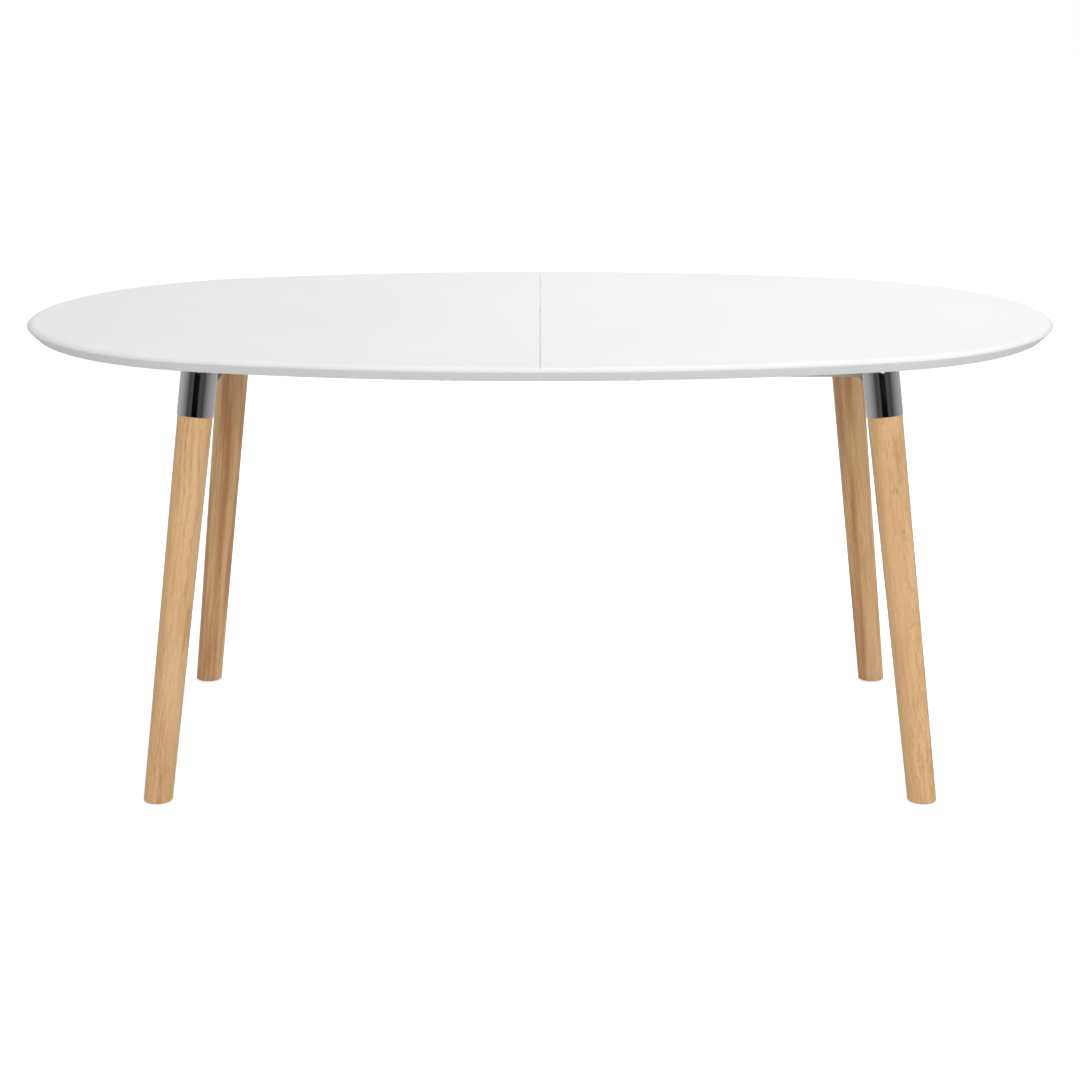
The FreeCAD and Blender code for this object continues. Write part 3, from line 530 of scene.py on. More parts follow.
# ------------------------------------------------------------------ meshes
class Shape:
    """Helpers that turn rings of points into closed, smooth meshes."""

    @staticmethod
    def from_rings(name: str, rings: Sequence[Sequence[Vector]], capped: bool = True,
                   looped: bool = False, sharp: float = 35.0) -> bpy.types.Object:
        """Skin a list of closed rings that have the same number of points.

        Args:
            name: the object's name.
            rings: the rings, in order.
            capped: close the first and the last ring with a face.
            looped: join the last ring to the first.
            sharp: edges that turn by more degrees than this stay sharp.

        Returns:
            The new object, with outward normals.
        """
        bm = bmesh.new()
        Shape.skin(bm, rings, capped, looped)
        return Shape.finish(name, bm, sharp)

    @staticmethod
    def skin(bm: bmesh.types.BMesh, rings: Sequence[Sequence[Vector]], capped: bool = True,
             looped: bool = False) -> None:
        """Add the faces between closed rings to a mesh.

        Args:
            bm: the mesh.
            rings: the rings, in order, with the same number of points.
            capped: close the first and the last ring with a face.
            looped: join the last ring to the first.
        """
        rows = [[bm.verts.new(point) for point in ring] for ring in rings]
        count = len(rows[0])
        pairs = list(zip(rows, rows[1:])) + ([(rows[-1], rows[0])] if looped else [])
        for low, high in pairs:
            for i in range(count):
                j = (i + 1) % count
                bm.faces.new((low[i], low[j], high[j], high[i]))
        if capped and not looped:
            bm.faces.new(reversed(rows[0]))
            bm.faces.new(rows[-1])

    @staticmethod
    def finish(name: str, bm: bmesh.types.BMesh, sharp: float = 35.0) -> bpy.types.Object:
        """Clean a mesh, point its faces outwards and link it as an object.

        Args:
            name: the object's name.
            bm: the mesh, which is freed.
            sharp: edges that turn by more degrees than this stay sharp.

        Returns:
            The new object.
        """
        bmesh.ops.remove_doubles(bm, verts=bm.verts, dist=1e-7)
        bmesh.ops.recalc_face_normals(bm, faces=bm.faces)
        mesh = bpy.data.meshes.new(name)
        bm.to_mesh(mesh)
        bm.free()
        return Shape.link(name, mesh, sharp)

    @staticmethod
    def link(name: str, mesh: bpy.types.Mesh, sharp: float = 35.0) -> bpy.types.Object:
        """Shade a mesh smooth with sharp corners and link it as an object."""
        mesh.shade_smooth()
        mesh.set_sharp_from_angle(angle=math.radians(sharp))
        made = bpy.data.objects.new(name, mesh)
        bpy.context.scene.collection.objects.link(made)
        return made

    @staticmethod
    def applied(source: bpy.types.Object, sharp: float = 35.0) -> bpy.types.Object:
        """Replace an object by a plain mesh of what its modifiers make.

        Args:
            source: the object with live modifiers, which is removed.
            sharp: edges that turn by more degrees than this stay sharp.

        Returns:
            The plain object, under the same name.
        """
        bpy.context.view_layer.update()
        graph = bpy.context.evaluated_depsgraph_get()
        mesh = bpy.data.meshes.new_from_object(source.evaluated_get(graph))
        name = source.name
        bpy.data.objects.remove(source)
        mesh.name = name
        return Shape.link(name, mesh, sharp)


def circle(center: Vector, across: Vector, level: Vector, radius: float,
           count: int) -> list[Vector]:
    """Evenly spaced points round a centre, in the plane of two unit vectors."""
    turns = [TAU * i / count for i in range(count)]
    return [center + (across * math.cos(t) + level * math.sin(t)) * radius for t in turns]


def dress(piece: bpy.types.Object, finish: Finish, body: str, *nodes: str) -> bpy.types.Object:
    """Give a piece its finish and its place in the frame.

    Args:
        piece: the piece.
        finish: its finish.
        body: the body that it rides on.
        nodes: the frame's nodes that it stands for.

    Returns:
        The same piece.
    """
    piece.data.materials.clear()
    piece.data.materials.append(finish.material())
    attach(piece, body)
    if nodes:
        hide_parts(*nodes)
    LOG.info("%s rides on %s: %d faces", piece.name, body, len(piece.data.polygons))
    return piece


# ------------------------------------------------------------------ geometry node trees
@dataclass
class Graph(Tree):
    """A geometry node tree that is built in the script."""

    name: str
    sizes: dict[str, float]
    tree: bpy.types.NodeTree = field(init=False)
    entry: bpy.types.Node = field(init=False)

    def __post_init__(self) -> None:
        """Make the tree with a geometry input and its named sizes."""
        self.tree = bpy.data.node_groups.new(self.name, "GeometryNodeTree")
        face = self.tree.interface
        face.new_socket("Geometry", in_out="INPUT", socket_type="NodeSocketGeometry")
        for label, value in self.sizes.items():
            socket = face.new_socket(label, in_out="INPUT", socket_type="NodeSocketFloat")
            socket.default_value = value
        face.new_socket("Geometry", in_out="OUTPUT", socket_type="NodeSocketGeometry")
        self.entry = self.tree.nodes.new("NodeGroupInput")

    def size(self, label: str) -> Num:
        """The number of a named size."""
        return Num(self, self.entry.outputs[label])

    def position(self) -> tuple[Num, Num, Num]:
        """The three coordinates of each point."""
        return self.parts(self.node("GeometryNodeInputPosition").outputs[0])

    def join(self, *parts: bpy.types.NodeSocket) -> bpy.types.NodeSocket:
        """Join geometries into one."""
        return self.node("GeometryNodeJoinGeometry", {}, {0: list(parts)}).outputs[0]

    def moved(self, shape: bpy.types.NodeSocket, by: bpy.types.NodeSocket) -> bpy.types.NodeSocket:
        """Move a geometry."""
        node = self.node("GeometryNodeTransform", {}, {"Geometry": shape, "Translation": by})
        return node.outputs[0]

    def close(self, shape: bpy.types.NodeSocket, finish: Finish) -> None:
        """End the tree: make instances real, set the material and give the result out.

        Args:
            shape: the finished geometry.
            finish: the finish that it takes.
        """
        real = self.node("GeometryNodeRealizeInstances", {}, {0: shape})
        cover = self.node("GeometryNodeSetMaterial", {}, {
            "Geometry": real.outputs[0], "Material": finish.material()})
        smooth = self.node("GeometryNodeSetShadeSmooth", {}, {0: cover.outputs[0]})
        out = self.tree.nodes.new("NodeGroupOutput")
        self.tree.links.new(smooth.outputs[0], out.inputs[0])

    def close_on_points(self, shape: bpy.types.NodeSocket, finish: Finish,
                        turn: object = (0.0, 0.0, 0.0)) -> None:
        """End the tree with a copy of a shape on every point.

        Args:
            shape: the geometry to copy.
            finish: the finish that it takes.
            turn: the copies' rotation, as a value or a socket.
        """
        spread = self.node("GeometryNodeMeshToPoints", {}, {"Mesh": self.entry.outputs[0]})
        copies = self.node("GeometryNodeInstanceOnPoints", {}, {
            "Points": spread.outputs[0], "Instance": shape, "Rotation": turn})
        self.close(copies.outputs[0], finish)

    def run(self, name: str, points: Sequence[Vector], edges: Sequence[tuple[int, int]] = (),
            sharp: float = 35.0, **sizes: float) -> bpy.types.Object:
        """Run the tree on a set of points and keep the plain result.

        Args:
            name: the piece's name.
            points: the points that the tree works on.
            edges: edges between them, for a path.
            sharp: edges that turn by more degrees than this stay sharp.
            sizes: sizes that differ from the tree's own, with spaces as underscores.

        Returns:
            The plain mesh object.
        """
        mesh = bpy.data.meshes.new(name)
        mesh.from_pydata([tuple(p) for p in points], list(edges), [])
        holder = bpy.data.objects.new(name, mesh)
        bpy.context.scene.collection.objects.link(holder)
        modifier = holder.modifiers.new("Build", "NODES")
        modifier.node_group = self.tree
        sockets = {s.name: s.identifier for s in self.tree.interface.items_tree
                   if s.in_out == "INPUT"}
        for label, value in {**self.sizes, **sizes}.items():
            modifier[sockets[label.replace("_", " ")]] = float(value)
        return Shape.applied(holder, sharp)


# ------------------------------------------------------------------ what the frame says
@lru_cache(maxsize=None)
def islands(node: str) -> list[tuple[Vector, Vector]]:
    """Find the separate solids of a node.

    Args:
        node: the node's name.

    Returns:
        The lowest and highest corner of each solid.
    """
    bm = bmesh.new()
    bm.from_mesh(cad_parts[node].data)
    bmesh.ops.remove_doubles(bm, verts=bm.verts, dist=1e-6)
    left, found = set(bm.verts), []
    while left:
        stack = [left.pop()]
        low, high = stack[0].co.copy(), stack[0].co.copy()
        while stack:
            vert = stack.pop()
            low = Vector(map(min, low, vert.co))
            high = Vector(map(max, high, vert.co))
            for edge in vert.link_edges:
                other = edge.other_vert(vert)
                if other in left:
                    left.remove(other)
                    stack.append(other)
        found.append((low, high))
    bm.free()
    return sorted(found, key=lambda pair: tuple(round(c, 5) for c in pair[0]))


def middle(pair: tuple[Vector, Vector]) -> Vector:
    """Middle of a box given by two corners."""
    return (pair[0] + pair[1]) / 2


@dataclass(frozen=True)
class Stance:
    """How one leg stands: its foot and the way its axis leans."""

    row: Row
    side: Side
    splay_x: float = math.radians(6.6)
    splay_y: float = math.radians(6.0)

    @property
    def name(self) -> str:
        """The corner as it stands in the nodes' names."""
        return f"{self.row.word}_{self.side.word}"

    @property
    def foot(self) -> Vector:
        """Where the axis meets the floor."""
        glides = [middle(pair) for pair in islands(f"foot_glides_{self.side.word}")]
        at = min(glides, key=lambda p: p.y * self.row.value * -1)
        return Vector((at.x, at.y, 0))

    @property
    def axes(self) -> tuple[Vector, Vector, Vector]:
        """Unit vectors along the leg, across it in the leaning plane, and level."""
        along = Vector((-self.side.value * math.tan(self.splay_x),
                        -self.row.value * math.tan(self.splay_y), 1)).normalized()
        level = UP.cross(along).normalized()
        return along, level.cross(along).normalized(), level

    @property
    def turn(self) -> Point:
        """The leg's own turn from upright."""
        return tuple(self.axes[0].to_track_quat("Z", "Y").to_euler())

    def along(self, height: float) -> float:
        """Length along the axis from the floor to a height."""
        return height / self.axes[0].z

    def ring(self, radius: float, length: float, count: int) -> list[Vector]:
        """Points round the axis, square to it.

        Args:
            radius: distance from the axis.
            length: place along the axis.
            count: number of points.

        Returns:
            The ring.
        """
        along, across, level = self.axes
        return circle(self.foot + along * length, across, level, radius, count)

    def level_ring(self, radius: float, taper: float, height: float,
                   count: int) -> list[Vector]:
        """Points round the axis, all at one height.

        Args:
            radius: radius of the cone at the floor.
            taper: how much the radius grows for each unit along the axis.
            height: height of the ring.
            count: number of points.

        Returns:
            The ring.
        """
        foot, (along, across, level) = self.foot, self.axes
        ring = []
        for i in range(count):
            turn = TAU * i / count
            drop = across.z * math.cos(turn)
            length = (height - radius * drop) / (along.z + taper * drop)
            out = across * math.cos(turn) + level * math.sin(turn)
            ring.append(foot + along * length + out * (radius + taper * length))
        return ring


# ------------------------------------------------------------------ the top
@dataclass
class HalfTop:
    """One half of the oval board, with a soft shoulder above and an undercut bevel below."""

    side: Side
    finish: Finish
    side_radius: float = 1870 * MM
    shoulder_run: float = 12 * MM
    shoulder_drop: float = 5.5 * MM
    land: float = 1.2 * MM
    bevel_run: float = 15.5 * MM
    seam_ease: float = 1.5 * MM
    seam_underside_ease: float = 0.3 * MM
    seam_clearance: float = 0.12 * MM
    edge_ease: float = 0.45 * MM
    shoulder_nudge: float = 0.105
    shoulder_points: int = 14
    rim_step: float = 1.5 * MM
    socket_chamfer: float = 0.6 * MM
    arc_points: int = 96
    seam_points: int = 24

    def __post_init__(self) -> None:
        """Take the overall sizes from the frame."""
        low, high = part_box(f"tabletop_{self.side.word}")
        self.bottom, self.top = low.z, high.z
        self.half_width = high.y
        self.half_length = max(abs(low.x), abs(high.x))
        length, width, radius = self.half_length, self.half_width, self.side_radius
        self.end_radius = (2 * radius * width - length ** 2 - width ** 2) / (
            2 * (radius - length))

    def outline(self, inset: float, seam_inset: float, height: float) -> list[Vector]:
        """The half's outline at one height.

        Args:
            inset: how far inside the widest edge it lies.
            seam_inset: how far back from the seam face it lies.
            height: its height.

        Returns:
            The points, from the front of the seam round the end and back along the seam.
        """
        end_x = self.half_length - self.end_radius
        side_y = self.side_radius - self.half_width
        turn = math.atan2(side_y, end_x)
        seam = self.seam_clearance + seam_inset
        side_r, end_r = self.side_radius - inset, self.end_radius - inset
        start = math.asin(seam / side_r)
        points = []
        for i in range(self.arc_points):
            t = start + (math.pi / 2 - turn - start) * i / self.arc_points
            points.append((side_r * math.sin(t), side_y - side_r * math.cos(t)))
        for i in range(self.arc_points + 1):
            t = -turn + 2 * turn * i / self.arc_points
            points.append((end_x + end_r * math.cos(t), end_r * math.sin(t)))
        points += [(x, -y) for x, y in reversed(points[:self.arc_points])]
        reach = points[-1][1]
        for i in range(1, self.seam_points):
            points.append((seam, reach - 2 * reach * i / self.seam_points))
        ring = [Vector((x * self.side.value, y, height)) for x, y in points]
        return ring if self.side is Side.RIGHT else ring[::-1]

    def section(self) -> list[tuple[float, float]]:
        """The edge from the underside up to the flat top, as inset and height."""
        land_top = self.top - self.shoulder_drop
        land_bottom = land_top - self.land
        slope = math.atan2(land_bottom - self.bottom, self.bevel_run)
        back = self.edge_ease
        corners = [(self.bevel_run, self.bottom, 0.0, slope),
                   (0.0, land_bottom, slope, math.pi / 2)]
        path = [(self.bevel_run + 4 * back, self.bottom), (self.bevel_run + 2 * back, self.bottom)]
        for inset, height, entering, leaving in corners:
            before = (inset + back * math.cos(entering), height - back * math.sin(entering))
            after = (inset - back * math.cos(leaving), height + back * math.sin(leaving))
            for share in (0.0, 0.25, 0.5, 0.75, 1.0):
                keep = 1 - share
                path.append(tuple(keep * keep * p + 2 * keep * share * c + share * share * q
                                  for p, c, q in zip(before, (inset, height), after)))
        run, drop = self.shoulder_run, self.shoulder_drop
        bend = (run ** 2 + drop ** 2) / (2 * drop)
        sweep = math.asin(run / bend)
        path.append((0.0, land_top - back * 0.4))
        for i in range(self.shoulder_points + 1):
            t = sweep * (1 - i / self.shoulder_points)
            nudge = 0.0 if i else back * self.shoulder_nudge
            path.append((run - bend * math.sin(t) + nudge, self.top - bend * (1 - math.cos(t))))
        path += [(run + step, self.top) for step in (0.4 * MM, 1.5 * MM, 6 * MM)]
        return path

    def seam_inset(self, height: float) -> float:
        """How far the seam face is eased back at a height."""
        deep = self.seam_ease
        rise = max(height - (self.top - deep), 0)
        fall = max(self.bottom + self.seam_underside_ease - height, 0)
        return deep - math.sqrt(max(deep ** 2 - rise ** 2, 0)) + fall

    def build(self) -> bpy.types.Object:
        """Skin the board and cut its dowel sockets."""
        path = self.section()
        last = len(path) - 1
        rings = []
        for i, (inset, height) in enumerate(path):
            extra = (max(0, i - (last - 2)) + max(0, 1 - i)) * self.rim_step
            rings.append(self.outline(inset, self.seam_inset(height) + extra, height))
        board = Shape.from_rings(f"half_top_{self.side.word}", rings)
        cutter = self.sockets()
        cut = board.modifiers.new("Sockets", "BOOLEAN")
        cut.object = cutter
        cut.solver = "EXACT"
        board = Shape.applied(board, 32.0)
        bpy.data.objects.remove(cutter)
        return board

    def sockets(self) -> bpy.types.Object:
        """The cutting shape of the dowel sockets, with a chamfer at each mouth."""
        bm = bmesh.new()
        for pair in islands("seam_dowels"):
            at = middle(pair)
            radius = (pair[1].z - pair[0].z) / 2
            fit = 0.3 * MM if self.side is Side.RIGHT else 0.05 * MM
            depth = pair[1].x + 2 * MM if self.side is Side.RIGHT else -pair[0].x
            mouth = self.seam_clearance
            profile = [(0.0, radius + fit + self.socket_chamfer + 0.001),
                       (mouth, radius + fit + self.socket_chamfer),
                       (mouth + self.socket_chamfer, radius + fit),
                       (depth - radius * 0.4, radius + fit), (depth, radius * 0.3)]
            rings = [circle(Vector((x * self.side.value, at.y, at.z)), NORTH, UP, r,
                            SOCKET_POINTS) for x, r in profile]
            Shape.skin(bm, rings)
        return Shape.finish("socket_cutter", bm)

    def dress(self) -> None:
        """Put the board in place of its node."""
        dress(self.build(), self.finish, self.side.body, f"tabletop_{self.side.word}")


# ------------------------------------------------------------------ legs
@dataclass
class Leg:
    """A tapered round oak leg with its polished collar.

    Its rings are level up to level_zone above the rounded foot, and square to the axis from
    square_from upwards.
    """

    stance: Stance
    wood: Finish
    metal: Finish
    foot_radius: float = 23.2 * MM
    top_radius: float = 28 * MM
    spigot_radius: float = 27.9 * MM
    mouth_height: float = 621 * MM
    foot_ease: float = 2.5 * MM
    recess_fit: float = 0.1 * MM
    end_gap: float = 3 * MM
    level_zone: float = 50 * MM
    square_from: float = 70 * MM
    wall: float = 1.2 * MM
    bore: float = 28.05 * MM
    count: int = 96

    def build_leg(self) -> bpy.types.Object:
        """Skin the leg from the recess in its foot to the end of its spigot."""
        stance, count = self.stance, self.count
        glide = self.glide_box()
        mouth = stance.along(self.mouth_height)
        taper = (self.top_radius - self.foot_radius) / mouth
        cut = glide[0].z + 1 * MM
        recess = (glide[1].x - glide[0].x) / 2 + self.recess_fit
        middle_point = stance.foot

        def flat_ring(radius: float, height: float) -> list[Vector]:
            """A level circle round the foot's middle, in step with the cone's points."""
            points = stance.level_ring(self.foot_radius, 0.0, height, count)
            ring = []
            for point in points:
                out = Vector((point.x - middle_point.x, point.y - middle_point.y, 0))
                ring.append(middle_point + out.normalized() * radius + UP * height)
            return ring

        rings = [flat_ring(recess, glide[1].z), flat_ring(recess, cut)]
        for step in range(7):
            t = math.pi / 2 * step / 6
            height = cut + self.foot_ease * (1 - math.cos(t))
            inward = self.foot_ease * (1 - math.sin(t))
            rings.append([point + (middle_point + UP * height - point).normalized() * inward
                          for point in stance.level_ring(self.foot_radius, taper, height, count)])
        for step in range(1, 9):
            height = cut + self.foot_ease + self.level_zone * step / 8
            rings.append(stance.level_ring(self.foot_radius, taper, height, count))
        start = stance.along(self.square_from)
        for step in range(13):
            length = start + (mouth - start) * step / 12
            rings.append(stance.ring(self.foot_radius + taper * length, length, count))
        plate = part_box(f"leg_plate_{stance.name}")[0].z
        tilt = self.bore * math.tan(math.acos(stance.axes[0].z))
        end = stance.along(plate - self.end_gap - tilt)
        rings.append(stance.ring(self.spigot_radius, mouth, count))
        rings.append(stance.ring(self.spigot_radius, end - 2 * MM, count))
        rings.append(stance.ring(self.spigot_radius - 2 * MM, end, count))
        return Shape.from_rings(f"oak_leg_{stance.name}", rings)

    def build_collar(self) -> bpy.types.Object:
        """Skin the sleeve: bore, rolled lip and outside, cut level at the top."""
        stance, count = self.stance, self.count * 2
        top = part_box(f"leg_plate_{stance.name}")[0].z
        mouth = stance.along(self.mouth_height)
        half = self.wall / 2
        rings = [stance.level_ring(self.bore, 0.0, top, count)]
        for step in range(9):
            t = math.pi * step / 8
            rings.append(stance.ring(self.bore + half - half * math.cos(t),
                                     mouth + half - half * math.sin(t), count))
        outside = self.bore + self.wall
        for height in (0.35, 0.7):
            length = mouth + (stance.along(top) - mouth) * height
            rings.append(stance.ring(outside, length, count))
        rings.append(stance.level_ring(outside, 0.0, top - 0.4 * MM, count))
        rings.append(stance.level_ring(outside - 0.4 * MM, 0.0, top, count))
        return Shape.from_rings(f"collar_{stance.name}", rings, looped=True, sharp=50.0)

    def glide_box(self) -> tuple[Vector, Vector]:
        """The box of this leg's glide."""
        foot = self.stance.foot
        pairs = islands(f"foot_glides_{self.stance.side.word}")
        return min(pairs, key=lambda pair: abs(middle(pair).y - foot.y))

    def dress(self) -> None:
        """Put leg and collar in place of their nodes."""
        name, body = self.stance.name, self.stance.side.body
        dress(self.build_leg(), self.wood, body, f"leg_{name}")
        dress(self.build_collar(), self.metal, body, f"leg_collar_{name}")


@dataclass
class Glides:
    """The plastic glides under one half's two feet, with a worn ring and a centre nail."""

    side: Side
    finish: Finish
    edge: float = 0.8 * MM
    count: int = 64

    def build(self) -> bpy.types.Object:
        """Turn both glides: flat foot, eased rim, groove and nail dimple."""
        bm = bmesh.new()
        for low, high in islands(f"foot_glides_{self.side.word}"):
            at, radius = middle((low, high)), (high.x - low.x) / 2
            profile = [(0.0025, low.z + 0.9 * MM), (0.0035, low.z + 0.15 * MM), (0.0045, low.z)]
            profile += [(radius * 0.60, low.z), (radius * 0.63, low.z + 0.5 * MM),
                        (radius * 0.68, low.z + 0.5 * MM), (radius * 0.71, low.z)]
            for step in range(5):
                t = math.pi / 2 * step / 4
                profile.append((radius - self.edge * (1 - math.sin(t)),
                                low.z + self.edge * (1 - math.cos(t))))
            profile += [(radius, high.z - 0.2 * MM), (radius - 0.2 * MM, high.z)]
            rings = [circle(Vector((at.x, at.y, z)), EAST, NORTH, r, self.count)
                     for r, z in profile]
            Shape.skin(bm, rings)
        return Shape.finish(f"glides_{self.side.word}", bm)

    def dress(self) -> None:
        """Put the glides in place of their node."""
        dress(self.build(), self.finish, self.side.body, f"foot_glides_{self.side.word}")


# ------------------------------------------------------------------ end rails
@dataclass
class EndRail:
    """A rectangular tube between the two collars of one end, coped and welded to them."""

    side: Side
    finish: Finish
    wall: float = 2 * MM
    corner: float = 3 * MM
    collar_radius: float = 29.25 * MM
    bead: float = 1.7 * MM
    bead_sink: float = 0.6 * MM
    corner_points: int = 6

    def __post_init__(self) -> None:
        """Take the tube's section from the frame."""
        self.low, self.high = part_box(f"end_rail_{self.side.word}")

    def section(self, inset: float) -> list[tuple[float, float]]:
        """The tube's rounded section.

        Args:
            inset: how far inside the outer faces it lies.

        Returns:
            Its points, as x and z.
        """
        radius = max(self.corner - inset, 0.6 * MM)
        x0, x1 = self.low.x + inset + radius, self.high.x - inset - radius
        z0, z1 = self.low.z + inset + radius, self.high.z - inset - radius
        arcs = []
        for quarter, (x, z) in enumerate(((x1, z1), (x0, z1), (x0, z0), (x1, z0))):
            turns = [math.pi / 2 * (quarter + i / self.corner_points)
                     for i in range(self.corner_points + 1)]
            arcs.append([(x + radius * math.cos(t), z + radius * math.sin(t)) for t in turns])
        points = []
        for arc, following in zip(arcs, arcs[1:] + arcs[:1]):
            (x, z), (to_x, to_z) = arc[-1], following[0]
            points += arc + [(x + (to_x - x) * share, z + (to_z - z) * share)
                             for share in (0.25, 0.5, 0.75)]
        return points

    def end_at(self, stance: Stance, x: float, z: float, radius: float) -> Vector:
        """Where a line along Y meets a collar.

        Args:
            stance: the leg that carries the collar.
            x: the line's x.
            z: the line's height.
            radius: the collar's radius.

        Returns:
            The meeting point nearer to the middle of the rail.
        """
        foot, along = stance.foot, stance.axes[0]
        start = Vector((x, 0, z)) - foot
        p = start - along * start.dot(along)
        d = NORTH - along * NORTH.dot(along)
        a, b, c = d.dot(d), p.dot(d), p.dot(p) - radius ** 2
        root = math.sqrt(max(b * b - a * c, 0))
        y = min(((-b + root) / a, (-b - root) / a), key=abs)
        return Vector((x, y, z))

    def build(self) -> bpy.types.Object:
        """Skin the tube's outside, its coped ends and its bore."""
        ends = {row: Stance(row, self.side) for row in Row}
        rings = []
        for inset, rows in ((0.0, (Row.FRONT, Row.REAR)), (self.wall, (Row.REAR, Row.FRONT))):
            section = self.section(inset)
            first, last = ([self.end_at(ends[row], x, z, self.collar_radius) for x, z in section]
                           for row in rows)
            rings.append(first)
            for share in (0.25, 0.5, 0.75):
                rings.append([p.lerp(q, share) for p, q in zip(first, last)])
            rings.append(last)
        return Shape.from_rings(f"cross_rail_{self.side.word}", rings, looped=True)

    def beads(self, graph: "Graph") -> bpy.types.Object:
        """Run the weld beads round both ends.

        Args:
            graph: the bead's node tree.

        Returns:
            Both beads as one mesh.
        """
        points, edges = [], []
        top = self.high.z - 1 * MM
        for row in Row:
            stance = Stance(row, self.side)
            base = len(points)
            section = self.section(0.0)
            points += [self.end_at(stance, x, z - (self.bead_sink if z > top else 0.0),
                                   self.collar_radius) for x, z in section]
            edges += [(base + i, base + (i + 1) % len(section)) for i in range(len(section))]
        return graph.run(f"weld_beads_{self.side.word}", points, edges, Bead_Radius=self.bead)

    def dress(self, graph: "Graph") -> None:
        """Put the rail in place of its node and weld it.

        Args:
            graph: the bead's node tree.
        """
        name = self.side.word
        dress(self.build(), self.finish, self.side.body, f"end_rail_{name}")
        dress(self.beads(graph), self.finish, self.side.body)


# ------------------------------------------------------------------ repeated hardware
def headed_fastener(finish: Finish) -> Graph:
    """Tree for screws and rivets: a domed head, a cross or plain face, and a shank.

    Args:
        finish: the finish that the fasteners take.

    Returns:
        The tree. Heads point down, or outwards along Y by Turn, which is in radians.
    """
    graph = Graph("Headed fastener", {
        "Head Radius": 4 * MM, "Head Height": 2.4 * MM, "Shank Radius": 2 * MM,
        "Shank Length": 14 * MM, "Recess Width": 1.1 * MM, "Recess Depth": 1.3 * MM,
        "Turn": 0.0})
    size = graph.size
    head = graph.node("GeometryNodeMeshUVSphere", {}, {
        "Segments": 28, "Rings": 14, "Radius": 1.0})
    flatten = graph.vector(size("Head Radius"), size("Head Radius"), size("Head Height"))
    squashed = graph.node("GeometryNodeTransform", {}, {
        "Geometry": head.outputs[0], "Scale": flatten})
    x, y, z = graph.position()
    seated = graph.node("GeometryNodeSetPosition", {}, {
        "Geometry": squashed.outputs[0], "Position": graph.vector(x, y, z.at_most(0.0))})

    reach, width = size("Head Radius") * 1.15, size("Recess Width")
    deep = size("Recess Depth") * 2.0
    tip = graph.vector(z=size("Head Height") * -1.0)
    bars = []
    for wide, tall in ((reach, width), (width, reach)):
        bar = graph.node("GeometryNodeMeshCube", {}, {"Size": graph.vector(wide, tall, deep)})
        bars.append(graph.moved(bar.outputs[0], tip))
    cut = graph.node("GeometryNodeMeshBoolean", {"operation": "DIFFERENCE", "solver": "EXACT"},
                     {"Mesh 1": seated.outputs[0], "Mesh 2": bars})

    shank = graph.node("GeometryNodeMeshCylinder", {}, {
        "Vertices": 20, "Side Segments": 1, "Radius": size("Shank Radius"),
        "Depth": size("Shank Length")})
    lifted = graph.moved(shank.outputs[0], graph.vector(z=size("Shank Length") * 0.5))
    graph.close_on_points(graph.join(cut.outputs[0], lifted), finish,
                          graph.vector(y.sign() * size("Turn")))
    return graph


def weld_bead(finish: Finish) -> Graph:
    """Tree for a rippled weld bead along a closed path."""
    graph = Graph("Weld bead", {"Bead Radius": 1.7 * MM, "Ripple": 0.22 * MM,
                                "Ripple Pitch": 2.2 * MM})
    curve = graph.node("GeometryNodeMeshToCurve", {}, {0: graph.entry.outputs[0]})
    even = graph.node("GeometryNodeResampleCurve", {}, {
        "Curve": curve.outputs[0], "Count": BEAD_POINTS})
    along = Num(graph, graph.node("GeometryNodeSplineParameter").outputs["Length"])
    wave = (along / graph.size("Ripple Pitch") * TAU).sine() * graph.size("Ripple")
    fat = graph.node("GeometryNodeSetCurveRadius", {}, {
        "Curve": even.outputs[0], "Radius": wave / graph.size("Bead Radius") + 1.0})
    ring = graph.node("GeometryNodeCurvePrimitiveCircle", {"mode": "RADIUS"}, {
        "Resolution": 10, "Radius": graph.size("Bead Radius")})
    swept = graph.node("GeometryNodeCurveToMesh", {}, {
        "Curve": fat.outputs[0], "Profile Curve": ring.outputs[0],
        "Scale": graph.node("GeometryNodeInputRadius").outputs[0]})
    graph.close(swept.outputs[0], finish)
    return graph


def grooved_bar(graph: Graph, cuts: tuple[int, int], length: Num, groove: Num, count: Num,
                trim: Callable[[Num], Num]) -> bpy.types.NodeSocket:
    """A bar along Z with grooves along it and shaped ends.

    Args:
        graph: the tree, which has a size named Radius.
        cuts: the bar's faces round and along.
        length: its length.
        groove: depth of the grooves.
        count: number of grooves.
        trim: how far the ends come in, by distance from the end.

    Returns:
        The bar.
    """
    body = graph.node("GeometryNodeMeshCylinder", {}, {
        "Vertices": cuts[0], "Side Segments": cuts[1], "Radius": graph.size("Radius"),
        "Depth": length})
    x, y, z = graph.position()
    dip = ((y.turn_from(x) * count).cosine() + 1.0) * (groove * 0.5)
    inward = dip + trim(length * 0.5 - abs(z))
    keep = 1.0 - inward / graph.size("Radius")
    shaped = graph.node("GeometryNodeSetPosition", {}, {
        "Geometry": body.outputs[0], "Position": graph.vector(x * keep, y * keep, z)})
    return shaped.outputs[0]


def fluted_dowel(finish: Finish) -> Graph:
    """Tree for glue dowels: chamfered ends and straight flutes, lying along X."""
    graph = Graph("Fluted dowel", {"Radius": 5 * MM, "Length": 34 * MM,
                                   "Flute Depth": 0.35 * MM, "Flutes": 20.0,
                                   "Chamfer": 1.6 * MM})
    size = graph.size
    shaped = grooved_bar(graph, (120, 40), size("Length"), size("Flute Depth"), size("Flutes"),
                         lambda from_end: (size("Chamfer") - from_end).at_least(0.0) * 0.6)
    graph.close_on_points(shaped, finish, (0.0, math.pi / 2, 0.0))
    return graph


